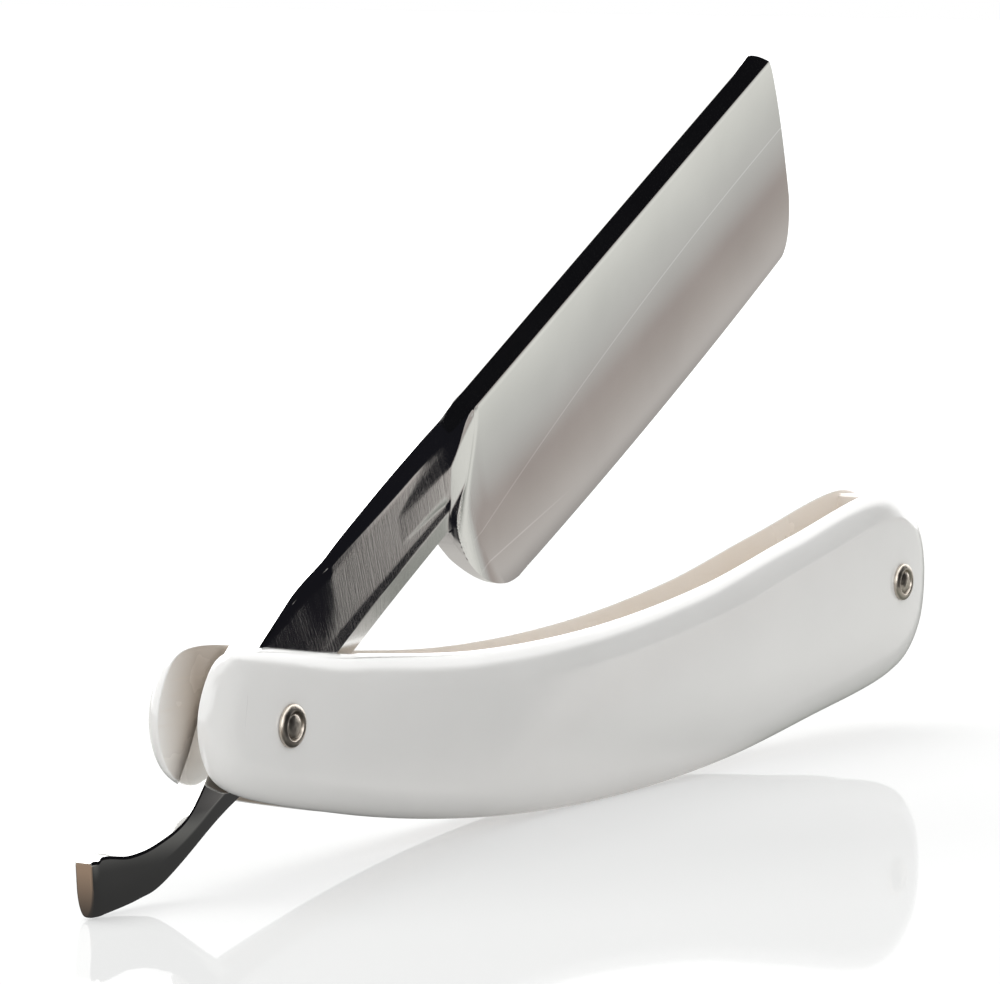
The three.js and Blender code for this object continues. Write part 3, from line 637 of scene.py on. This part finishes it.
def blade_grid(seam_half):
    """Distances, heights and half thicknesses of the points on one side of the blade."""
    columns = blade_columns()
    # the first row is the cutting edge itself
    edge_s = mix(CUTTING[:, 0].min(), CUTTING[:, 0].max(), columns)
    shares = EDGE_ROWS + list(np.linspace(EVEN_ROWS_FROM, 1, LOW_ROWS - len(EDGE_ROWS) + 1))
    rows = [(edge_s, edge_at(edge_s))]
    rows += [low_row(share, columns) for share in shares[1:LOW_ROWS]]
    rows += [high_row(k, columns) for k in range(MID_ROWS + FACET_ROWS + 1)]
    s, v = np.array([row[0] for row in rows]), np.array([row[1] for row in rows])
    half = blade_half(s, v)
    # the first columns take the tang's thickness, so that the regions meet without a step
    fade = 1 - smooth(s[LOW_ROWS:], SEAM, SEAM + SEAM_FADE)
    half[LOW_ROWS:] = mix(half[LOW_ROWS:], seam_half[:, None], fade)
    return s, v, half


class Shell:
    """The blade's points, with their places along and across it, and its faces."""

    def __init__(self):
        self.points, self.uv, self.faces = [], [], []

    def point(self, s, v, y):
        x = PIVOT_X + s * math.cos(REST_ANGLE) - v * math.sin(REST_ANGLE)
        z = PIVOT_Z + s * math.sin(REST_ANGLE) + v * math.cos(REST_ANGLE)
        self.points.append((x, y, z))
        self.uv.append((s / UV_UNIT, v / UV_UNIT))
        return len(self.points) - 1

    def row(self, s, v, y):
        return [self.point(*place) for place in zip(s, v, y)]

    def rows(self, s, v, y):
        return [self.row(*places) for places in zip(s, v, y)]

    def bridge(self, a, b):
        for i in range(len(a) - 1):
            self.faces.append([a[i], a[i + 1], b[i + 1], b[i]])

    def sheet(self, rows):
        for a, b in zip(rows[:-1], rows[1:]):
            self.bridge(a, b)


def crown_rows(shell, s, v, half):
    """Rows of points over the crowned top of spine and tang, between its two arrises."""
    fade = 1 - np.clip((s - CROWN_END) / CROWN_FADE, 0, 1)
    crown = CROWN * smooth(s, CROWN_START, TANG_END) * fade + top_drop(s)
    rows = []
    for k in range(1, TOP_ROWS):
        across = 0.5 - 0.5 * math.cos(math.pi * k / TOP_ROWS)
        bow = 1 - abs(2 * across - 1) ** CROWN_POWER
        rows.append(shell.row(s, v + crown * bow, mix(-half, half, across)))
    return rows


def blade_mesh(material):
    s_tang, v_tang, half_tang = tang_grid()
    s, v, half = blade_grid(half_tang[:, -1])
    shell = Shell()
    sides = []
    for side in (-1, 1):
        tang = shell.rows(s_tang, v_tang, side * half_tang)
        low = shell.rows(s[:LOW_ROWS], v[:LOW_ROWS], side * half[:LOW_ROWS])
        high = shell.rows(s[LOW_ROWS:, 1:], v[LOW_ROWS:, 1:], side * half[LOW_ROWS:, 1:])
        blade = low + [[start[-1]] + row for start, row in zip(tang, high)]
        shell.sheet(tang)
        shell.sheet(blade)
        sides.append((tang, blade))
    (near_tang, near), (far_tang, far) = sides
    # the underside, the heel and the cutting edge
    shell.bridge(near_tang[0], far_tang[0])
    shell.bridge([row[0] for row in near[: LOW_ROWS + 1]], [row[0] for row in far[: LOW_ROWS + 1]])
    shell.bridge(near[0], far[0])
    regions = ((s_tang, s), (v_tang, v), (half_tang, half))
    crown = crown_rows(shell, *(np.append(tang[-1], blade[-1, 1:]) for tang, blade in regions))
    shell.sheet([near_tang[-1] + near[-1][1:]] + crown + [far_tang[-1] + far[-1][1:]])
    # the toe's rim and the tail's end, with the crown's own points in their last face
    for near_rows, far_rows, end in ((near, far, -1), (near_tang, far_tang, 0)):
        a, b = [row[end] for row in near_rows], [row[end] for row in far_rows]
        shell.bridge(a[:-1], b[:-1])
        shell.faces.append(a[-2:] + [row[end] for row in crown] + b[:-3:-1])
    ob = add_mesh("razor_blade", shell.points, shell.faces, (material,), uv=shell.uv)
    bore(ob, [(0, 0)])
    crease(ob, BLADE_CREASE)
    return ob


# Pins, collars, washers and wedge

def turned(name, points, faces, material, x, z, angle, y=0.0, flip=False):
    """A turned piece at x, z from the pivot, its foot at y and its top to the back or, flipped, the front."""
    points = points * (1, -1 if flip else 1, 1) + (PIVOT_X + x, y, PIVOT_Z + z)
    ob = add_mesh(name, points, faces, (material,))
    crease(ob, angle)
    return ob


def collar_profile():
    inner = COLLAR_R - RING_WIDTH
    seat = COLLAR_H - SEAT_DEPTH
    foot_in, foot_up = COLLAR_FOOT
    profile = [(HOLE_R, 0.0), (COLLAR_R - foot_in, 0.0), (COLLAR_R, foot_up), (COLLAR_R, COLLAR_RIM)]
    for turn in np.linspace(0, math.pi / 2, COLLAR_STEPS)[1:]:
        rise = (COLLAR_H - COLLAR_RIM) * math.sin(turn)
        profile.append((inner + RING_WIDTH * math.cos(turn), COLLAR_RIM + rise))
    profile += [(inner - inward, COLLAR_H - down) for inward, down in LIP_TURN]
    profile += [(inner - inward, seat + up) for inward, up in SEAT_TURN]
    return profile + [(HOLE_R, seat), (HOLE_R, 0.0)]


def washer_profile():
    rim = WASHER_R - WASHER_EDGE
    outside = [(rim, 0.0), (WASHER_R, WASHER_EDGE), (WASHER_R, WASHER_T - WASHER_EDGE), (rim, WASHER_T)]
    return [(HOLE_R, 0.0)] + outside + [(HOLE_R, WASHER_T), (HOLE_R, 0.0)]


def pin_profile(seat_at):
    """Half of a pin, from its middle to the dome of the head that sits at seat_at."""
    half = [(PIN_R, 0.0)] + [(r, seat_at + up) for r, up in HEAD_FOOT]
    for turn in np.linspace(HEAD_TURN, math.pi / 2, HEAD_STEPS):
        rise = HEAD_LIFT + (HEAD_H - HEAD_LIFT) * math.sin(turn)
        half.append((max(HEAD_R * math.cos(turn), HEAD_TIP_R), seat_at + rise))
    return half


def peened_pin(seat_at, seed, rough):
    """A pin with a peened head at each end, its dome struck uneven by the hammer."""
    rng = np.random.default_rng(seed)
    half = pin_profile(seat_at)
    points, faces = lathe([(r, -y) for r, y in half[::-1]] + half[1:], HEAD_SPOKES)
    dents = rng.uniform(-1, 1, (DENTS, 2)) * HEAD_R * DENT_SPREAD
    sizes = rng.uniform(*DENT_SIZE, DENTS)
    depths = rng.uniform(*DENT_DEPTH, DENTS) * rough
    top = np.abs(points[:, 1]) > seat_at + DENTED_FROM
    for (dx, dz), size, depth in zip(dents, sizes, depths):
        near = np.exp(-((points[:, 0] - dx) ** 2 + (points[:, 2] - dz) ** 2) / size**2)
        points[:, 1] -= np.where(top, np.sign(points[:, 1]) * near * depth, 0)
    faces += [list(range(HEAD_SPOKES))[::-1], list(range(len(points) - HEAD_SPOKES, len(points)))]
    return points, faces


def wedge_mesh(material):
    outline = drawn_in(scale_outline(), WEDGE_INSET)
    start = PIN_SPACING + REACH_WEDGE - WEDGE_LENGTH
    keep = outline[:, 0] > start
    first = np.argmax(keep & ~np.roll(keep, 1))
    ring = np.roll(outline, -first, 0)[: keep.sum()]
    # the flat front, between the outline's last point and its first
    turns = np.linspace(0, math.pi, WEDGE_FRONT_STEPS)[1:-1]
    front = [(start, mix(ring[-1][1], ring[0][1], (1 - math.cos(turn)) / 2)) for turn in turns]
    ring = np.vstack([ring, front])
    heights = (-SLOT_HALF, WEDGE_RIM - SLOT_HALF, SLOT_HALF - WEDGE_RIM, SLOT_HALF)
    points = [(PIVOT_X + x, y, PIVOT_Z + z) for y in heights for x, z in ring]
    n = len(ring)
    faces = ring_faces(len(heights), n) + [list(range(n)), list(range(len(points) - n, len(points)))]
    ob = add_mesh("wedge_filler", points, faces, (material,))
    bore(ob, [(PIN_SPACING, WEDGE_RISE)])
    crease(ob, WEDGE_CREASE)
    return ob


# Materials: lengths in metres, and noise scales in waves to the metre or to a unit of the UV map

NOISE_SPAN = (0.3, 0.7)
# inside the scales, along x: where the cream turns warm, and where the painted shade of the tang's shadow and
# reflection starts and ends
WARM_RUN, TANG_SHADE_START, TANG_SHADE_END = (-0.066, -0.045), (-0.0655, -0.0600), (-0.045, -0.038)
# on the blade's UV map: where its brushing starts, ends and thins upwards, and where the painted highlight
# lines run
BRUSH_START, BRUSH_END, BRUSH_TOP = (-0.06, -0.02), (0.36, 0.43), (0.060, 0.066)
LINES_START, LINE_WIDTH = (0.405, 0.43), (0.0004, 0.0014)
UPPER_DOWN, UPPER_BEND, UPPER_RUN = 0.025, 0.045, (0.428, 1.108)
LOWER_DOWN, LOWER_BEND, LOWER_RUN, LOWER_END = 0.109, 0.026, (0.43, 0.60), (0.50, 0.60)


class Nodes:
    """A short way to write the node tree of a material or a world."""

    def __init__(self, owner):
        owner.use_nodes = True
        self.owner = owner
        self.tree = owner.node_tree

    def put(self, socket, value):
        if hasattr(value, "links"):
            self.tree.links.new(value, socket)
        else:
            socket.default_value = value

    def add(self, kind, inputs=None, **fields):
        node = self.tree.nodes.new("ShaderNode" + kind)
        for key, value in fields.items():
            setattr(node, key, value)
        for key, value in (inputs or {}).items():
            self.put(node.inputs[key], value)
        return node

    def out(self, kind, inputs=None, **fields):
        return self.add(kind, inputs, **fields).outputs[0]

    def where(self, scale=(1, 1, 1), source="Object", turn=(0, 0, 0)):
        place = self.add("TexCoord").outputs[source]
        return self.out("Mapping", {"Vector": place, "Scale": scale, "Rotation": turn})

    def split(self, vector):
        return self.add("SeparateXYZ", {0: vector}).outputs

    def noise(self, vector, scale, detail, rough):
        inputs = {"Vector": vector, "Scale": scale, "Detail": detail, "Roughness": rough}
        return self.out("TexNoise", inputs)

    def span(self, value, low, high, out_low=0.0, out_high=1.0, kind="LINEAR"):
        limits = {"From Min": low, "From Max": high, "To Min": out_low, "To Max": out_high}
        return self.out("MapRange", {"Value": value, **limits}, interpolation_type=kind)

    def noise_span(self, noise, out_low=0.0, out_high=1.0):
        return self.span(noise, *NOISE_SPAN, out_low, out_high)

    def maths(self, operation, a, b=0.0):
        return self.out("Math", {0: a, 1: b}, operation=operation)

    def times(self, a, b):
        return self.maths("MULTIPLY", a, b)

    def plus(self, a, b):
        return self.maths("ADD", a, b)

    def blend(self, factor, a, b):
        """A mix of two colours, which are inputs 6 and 7 and output 2 of the Mix node."""
        return self.add("Mix", {0: factor, 6: a, 7: b}, data_type="RGBA").outputs[2]

    def choose(self, factor, a, b):
        return self.out("MixShader", {0: factor, 1: a, 2: b})

    def ramp(self, value, stops):
        """A colour ramp through stops of a value and a colour."""
        low, high = stops[0][0], stops[-1][0]
        node = self.add("ValToRGB", {0: self.span(value, low, high)})
        elements = node.color_ramp.elements
        while len(elements) < len(stops):
            elements.new(0.5)
        for element, (at, color) in zip(elements, stops):
            element.position = (at - low) / (high - low)
            element.color = (*color, 1)
        return node.outputs[0]

    def bump(self, height, strength, distance, normal=None):
        inputs = {"Height": height, "Strength": strength, "Distance": distance}
        if normal is not None:
            inputs["Normal"] = normal
        return self.out("Bump", inputs)

    def finish(self, **values):
        shader = self.tree.nodes["Principled BSDF"]
        for key, value in values.items():
            self.put(shader.inputs[key.replace("_", " ")], value)
        return self.owner


def new_material(name):
    return Nodes(bpy.data.materials.new(name))


def white_gloss():
    n = new_material("white_gloss")
    cloud = n.noise(n.where(), 38, 3, 0.5)
    fine = n.noise(n.where(), 900, 3, 0.6)
    scratch = n.noise(n.where((30, 900, 900), turn=(0.2, 0.1, 0.3)), 1.0, 2, 0.5)
    dull, clean = (0.83, 0.825, 0.81, 1), (0.87, 0.865, 0.85, 1)
    color = n.blend(n.span(cloud, 0.35, 0.65), dull, clean)
    rough = n.plus(n.noise_span(fine, 0.09, 0.13), n.span(scratch, 0.58, 0.72, 0.0, 0.08))
    normal = n.bump(fine, 0.05, 0.00002, n.bump(cloud, 0.12, 0.0006))
    n.finish(Coat_Weight=0.5, Coat_Roughness=0.05, IOR=1.5)
    return n.finish(Base_Color=color, Roughness=rough, Normal=normal)


def cream_inside():
    """Pale cream inside the scales' pivot end, warmer further on, and a painted brown shade around the pivot,
    where the tang's shadow and reflection fall.
    """
    n = new_material("cream_inside")
    cloud = n.noise(n.where(), 60, 4, 0.55)
    streak = n.noise(n.where((120, 1500, 1500)), 1.0, 3, 0.6)
    x = n.split(n.add("TexCoord").outputs["Object"])[0]
    shade = n.noise_span(cloud)
    pale = n.blend(shade, (0.855, 0.845, 0.82, 1), (0.87, 0.86, 0.84, 1))
    warm = n.blend(shade, (0.94, 0.87, 0.79, 1), (0.97, 0.92, 0.86, 1))
    shadow_brown, tan = (0.46, 0.39, 0.32, 1), (0.76, 0.66, 0.55, 1)
    color = n.blend(n.span(x, *WARM_RUN), pale, warm)
    # painted shade: brown around the pivot, where the tang's shadow and reflection fall on the inner face
    tang_shade = n.times(n.span(x, *TANG_SHADE_START), n.span(x, *TANG_SHADE_END, 1.0, 0.0))
    color = n.blend(n.times(tang_shade, 0.85), color, shadow_brown)
    color = n.blend(n.span(streak, 0.55, 0.75, 0.0, 0.15), color, tan)
    normal = n.bump(streak, 0.15, 0.00004)
    return n.finish(Base_Color=color, Roughness=n.noise_span(cloud, 0.2, 0.3), Normal=normal)


def ivory_filler():
    n = new_material("ivory_filler")
    cloud = n.noise(n.where(), 120, 4, 0.55)
    tan, ivory = (0.86, 0.79, 0.72, 1), (0.92, 0.88, 0.83, 1)
    color = n.blend(n.noise_span(cloud), tan, ivory)
    rough, normal = n.noise_span(cloud, 0.25, 0.4), n.bump(cloud, 0.2, 0.0001)
    return n.finish(Base_Color=color, Roughness=rough, Normal=normal)


def painted_highlight_lines(n, s, v):
    """Two fine painted highlight lines along the hollow, where its reflections change: one rises to the toe,
    the lower one fades out.
    """
    to_toe = n.maths("SUBTRACT", 1.0, n.span(s, *UPPER_RUN))
    upper = n.plus(v, n.plus(UPPER_DOWN, n.times(n.times(to_toe, to_toe), UPPER_BEND)))
    lower = n.plus(v, n.plus(LOWER_DOWN, n.span(s, *LOWER_RUN, 0.0, LOWER_BEND)))
    upper, lower = (n.span(n.maths("ABSOLUTE", line), *LINE_WIDTH, 1.0, 0.0) for line in (upper, lower))
    both = n.maths("MAXIMUM", upper, n.times(lower, n.span(s, *LOWER_END, 1.0, 0.0)))
    return n.times(both, n.span(s, *LINES_START))


def blade_steel():
    """Polished steel, brushed across on the tang. The UV map holds s and v in hundreds of millimetres."""
    n = new_material("blade_steel")
    s, v, _ = n.split(n.add("TexCoord").outputs["UV"])
    cloud = n.noise(n.where(source="UV"), 9, 3, 0.5)
    # transverse marks of the grinding belt, long across the tang and short along it
    belt = n.noise(n.where((420, 26, 1), "UV"), 1.0, 5, 0.65)
    hone = n.noise(n.where((14, 900, 1), "UV"), 1.0, 3, 0.6)
    ragged = n.plus(s, n.times(n.maths("SUBTRACT", belt, 0.5), 0.10))
    on_tang = n.times(n.span(ragged, *BRUSH_END, 1.0, 0.0), n.span(s, *BRUSH_START))
    brushed = n.times(on_tang, n.span(v, *BRUSH_TOP, 1.0, 0.15))
    grey, pale, white = (0.74, 0.735, 0.72, 1), (0.79, 0.785, 0.77, 1), (1, 1, 1, 1)
    color = n.blend(n.noise_span(cloud), grey, pale)
    # painted highlight: the lines turn the steel's colour towards white
    color = n.blend(n.times(painted_highlight_lines(n, s, v), 0.7), color, white)
    rough = n.plus(n.noise_span(cloud, 0.035, 0.06), n.times(brushed, n.noise_span(belt, 0.05, 0.16)))
    normal = n.bump(hone, 0.03, 0.00001, n.bump(belt, n.times(brushed, 0.3), 0.00006))
    return n.finish(Base_Color=color, Metallic=1.0, Roughness=rough, Normal=normal)


def warm_nickel():
    n = new_material("warm_nickel")
    cloud = n.noise(n.where(), 900, 3, 0.5)
    pit = n.out("TexVoronoi", {"Vector": n.where(), "Scale": 2600.0})
    dark, light = (0.60, 0.54, 0.47, 1), (0.76, 0.70, 0.62, 1)
    color = n.blend(n.noise_span(cloud), dark, light)
    normal = n.bump(pit, 0.25, 0.00004, n.bump(cloud, 0.5, 0.00012))
    return n.finish(Base_Color=color, Metallic=1.0, Roughness=n.noise_span(cloud, 0.30, 0.44), Normal=normal)


def brass():
    n = new_material("brass")
    cloud = n.noise(n.where(), 700, 4, 0.55)
    dark, light = (0.50, 0.36, 0.16, 1), (0.72, 0.56, 0.30, 1)
    color = n.blend(n.noise_span(cloud), dark, light)
    rough, normal = n.noise_span(cloud, 0.28, 0.42), n.bump(cloud, 0.3, 0.00005)
    return n.finish(Base_Color=color, Metallic=1.0, Roughness=rough, Normal=normal)


# Stage: a white glossy table top, white behind and dark towards the camera's side, as in a photo studio

WHITE = (1, 1, 1)
TABLE_WHITE, TABLE_GREY, CEILING = (0.8, 0.8, 0.79, 1), (0.36, 0.365, 0.36, 1), (0.8, 0.8, 0.8, 1)
GLOW_NEAR, GLOW_FAR, GLOW_FROM, GLOW_TO = 0.54, 1.02, 0.12, 0.6
SHEEN, SHEEN_ROUGH = 0.10, 0.03
# What polished steel sees of the table: angles in degrees around a point in front of the razor, from the
# far right towards the camera's side, and the light that comes from there.
FAN_Y = -0.017
PALE, DULL, WARM = (0.84, 0.84, 0.80), (0.54, 0.535, 0.52), (0.60, 0.57, 0.55)
BAND, BLACK = (0.405, 0.36, 0.34), (0.009, 0.009, 0.012)
TABLE_STOPS = [
    (-180, PALE), (9, PALE), (13.2, (0.78, 0.785, 0.745)), (14.6, (0.66, 0.665, 0.635)), (17.8, DULL),
    (19.6, BAND), (21.4, (0.45, 0.41, 0.385)), (24.2, WARM), (26.4, BLACK), (150, BLACK), (180, PALE),
]
# what it sees under the razor, by the place along the table in metres, with painted shade where the razor's
# shadow and reflection lie
TAN, ASH, DIM = (0.36, 0.26, 0.19), (0.04, 0.04, 0.04), (0.06, 0.06, 0.06)
GREEN, LIT = (0.20, 0.21, 0.19), (0.62, 0.60, 0.58)
NEAR_STOPS = [
    (-0.13, TAN), (-0.092, TAN), (-0.08, ASH), (-0.03, DIM),
    (-0.005, LIT), (0.03, LIT), (0.05, GREEN), (0.15, GREEN),
]
NEAR_FULL, NEAR_END = 0.015, 0.05
ROOM_DARK = (0.0025, 0.0025, 0.003)
ROOM_STOPS = [(-180, WHITE), (19, WHITE), (27, ROOM_DARK), (140, ROOM_DARK), (165, WHITE), (180, WHITE)]
CEILING_FROM, CEILING_FULL, BACKDROP_LIGHT, ROOM_LIGHT = 0.72, 0.9, 2.4, 0.62
FLOOR_HALF, FLOOR_LOW = 12.0, 0.00005
LAMP_AIM = (0, 0, 0.02)
# the camera: focal length in the photo's pixels, place in millimetres, angles in radians
PHOTO_WIDTH, FOCAL, SENSOR = 1000, 5241.68, 36.0
CAMERA_PLACE = (-462.74, -274.674, 84.993)
YAW, PITCH, ROLL = 1.02656, 0.09686, 0.01197


def floor_material():
    n = new_material("studio_floor")
    n.tree.nodes.clear()
    path = n.add("LightPath").outputs
    place = n.add("NewGeometry").outputs["Position"]
    x, y, _ = n.split(place)
    # seen by the camera: white, with the razor's soft shadow near it and a faint sharp reflection
    length = n.add("VectorMath", {0: place}, operation="LENGTH").outputs["Value"]
    far = n.span(length, GLOW_FROM, GLOW_TO, GLOW_NEAR, GLOW_FAR, "SMOOTHSTEP")
    glow = n.out("Emission", {"Color": (*WHITE, 1), "Strength": far})
    lit = n.out("AddShader", {0: n.out("BsdfDiffuse", {"Color": TABLE_GREY}), 1: glow})
    shine = n.choose(SHEEN, lit, n.out("BsdfGlossy", {"Roughness": SHEEN_ROUGH}))
    # seen in polished steel
    angle = n.maths("DEGREES", n.maths("ARCTAN2", n.maths("SUBTRACT", FAN_Y, y), x))
    near = n.span(n.maths("ABSOLUTE", y), NEAR_FULL, NEAR_END, 1.0, 0.0, "SMOOTHSTEP")
    seen = n.blend(near, n.ramp(angle, TABLE_STOPS), n.ramp(x, NEAR_STOPS))
    soft = n.out("BsdfDiffuse", {"Color": TABLE_WHITE})
    glossy = n.choose(path["Is Glossy Ray"], soft, n.out("Emission", {"Color": seen}))
    n.add("OutputMaterial", {0: n.choose(path["Is Camera Ray"], glossy, shine)})
    return n.owner


def world():
    """A bright backdrop and ceiling behind the razor, and the dark room on the camera's side."""
    n = Nodes(bpy.data.worlds.new("studio"))
    n.tree.nodes.clear()
    path = n.add("LightPath").outputs
    x, y, z = n.split(n.add("TexCoord").outputs["Generated"])
    azimuth = n.maths("DEGREES", n.maths("ARCTAN2", n.times(y, -1.0), x))
    above = n.span(z, CEILING_FROM, CEILING_FULL, kind="SMOOTHSTEP")
    sky = n.blend(above, n.ramp(azimuth, ROOM_STOPS), CEILING)
    reflected = n.out("Background", {"Color": sky, "Strength": BACKDROP_LIGHT})
    light = n.out("Background", {"Color": (*WHITE, 1), "Strength": ROOM_LIGHT})
    clear = n.out("Background", {"Color": (*WHITE, 1)})
    direct = n.maths("MAXIMUM", path["Is Camera Ray"], path["Is Transmission Ray"])
    n.add("OutputWorld", {0: n.choose(direct, n.choose(path["Is Glossy Ray"], light, reflected), clear)})
    bpy.context.scene.world = n.owner


def lamp(name, place, size, power):
    data = bpy.data.lights.new(name, "AREA")
    data.shape = "RECTANGLE"
    data.size, data.size_y = size
    data.energy = power
    ob = bpy.data.objects.new(name, data)
    bpy.context.scene.collection.objects.link(ob)
    ob.location = place
    ob.rotation_mode = "QUATERNION"
    ob.rotation_quaternion = (Vector(LAMP_AIM) - Vector(place)).to_track_quat("-Z", "Y")


def stage():
    corners = [(x * FLOOR_HALF, y * FLOOR_HALF, 0) for x, y in ((-1, -1), (1, -1), (1, 1), (-1, 1))]
    mesh = bpy.data.meshes.new("floor")
    mesh.from_pydata(corners, [], [[0, 1, 2, 3]])
    mesh.materials.append(floor_material())
    ob = bpy.data.objects.new("floor", mesh)
    ob.location.z = -FLOOR_LOW
    bpy.context.scene.collection.objects.link(ob)
    world()
    lamp("key", place=(0.25, 0.55, 1.15), size=(1.3, 0.9), power=9.5)
    lamp("fill", place=(-1.1, -0.9, 0.7), size=(0.9, 0.9), power=4.2)


def camera():
    data = bpy.data.cameras.new("photo_camera")
    data.sensor_fit = "HORIZONTAL"
    data.sensor_width = SENSOR
    data.lens = FOCAL / PHOTO_WIDTH * SENSOR
    data.clip_start, data.clip_end = 0.01, 100
    ob = bpy.data.objects.new("photo_camera", data)
    bpy.context.scene.collection.objects.link(ob)
    flat = math.cos(PITCH)
    forward = Vector((math.sin(YAW) * flat, math.cos(YAW) * flat, -math.sin(PITCH)))
    level = Vector((math.cos(YAW), -math.sin(YAW), 0))
    upright = level.cross(forward)
    right = level * math.cos(ROLL) + upright * math.sin(ROLL)
    up = upright * math.cos(ROLL) - level * math.sin(ROLL)
    turn = Matrix((right, up, -forward)).transposed().to_4x4()
    ob.matrix_world = Matrix.Translation(Vector(CAMERA_PLACE) * MM) @ turn
    bpy.context.scene.camera = ob


# Pieces, each with the body it rides on and the CAD node it stands for

def scales():
    outer, inner = white_gloss(), cream_inside()
    for name, node, side in (("scale_back", "back_scale", 1), ("scale_front", "front_scale", -1)):
        ob = scale_mesh(name, side, outer, inner)
        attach(ob, "handle")
        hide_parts(node)


def wedge():
    filler = wedge_mesh(ivory_filler())
    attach(filler, "handle")
    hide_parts("wedge")


def fittings(end, x, z, reach, rough, seed, nickel):
    """The collars and the peened pin of one end, seated on the scales' outer faces."""
    foot = OUTER - EASE_DEPTH * (EASE_LENGTH - reach - COLLAR_R) / EASE_LENGTH
    for side, flip in (("back", False), ("front", True)):
        points, faces = lathe(collar_profile(), COLLAR_SPOKES)
        height = -foot if flip else foot
        name = f"{end}_collar_ring_{side}"
        ob = turned(name, points, faces, nickel, x, z, COLLAR_CREASE, height, flip)
        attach(ob, "handle")
        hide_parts(f"{end}_collar_{side}")
    points, faces = peened_pin(foot + COLLAR_H - SEAT_DEPTH, seed, rough)
    ob = turned(f"{end}_pin_peened", points, faces, nickel, x, z, HEAD_CREASE)
    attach(ob, "handle")
    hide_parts(f"{end}_pin")


def washers():
    yellow = brass()
    for side, height in (("back", SLOT_HALF - WASHER_T), ("front", -SLOT_HALF)):
        points, faces = lathe(washer_profile(), COLLAR_SPOKES)
        ob = turned(f"pivot_washer_ring_{side}", points, faces, yellow, 0, 0, WASHER_CREASE, height)
        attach(ob, "handle")
        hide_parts(f"pivot_washer_{side}")


def razor_blade():
    blade = blade_mesh(blade_steel())
    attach(blade, "blade")
    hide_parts("blade")


def build():
    scales()
    wedge()
    nickel = warm_nickel()
    fittings("pivot", 0, 0, REACH_PIVOT, rough=0.05, seed=7, nickel=nickel)
    fittings("wedge", PIN_SPACING, WEDGE_RISE, REACH_WEDGE, rough=0.09, seed=11, nickel=nickel)
    washers()
    razor_blade()


bpy.context.scene.view_settings.view_transform = "Standard"
build()
stage()
camera()
bpy.context.view_layer.update()
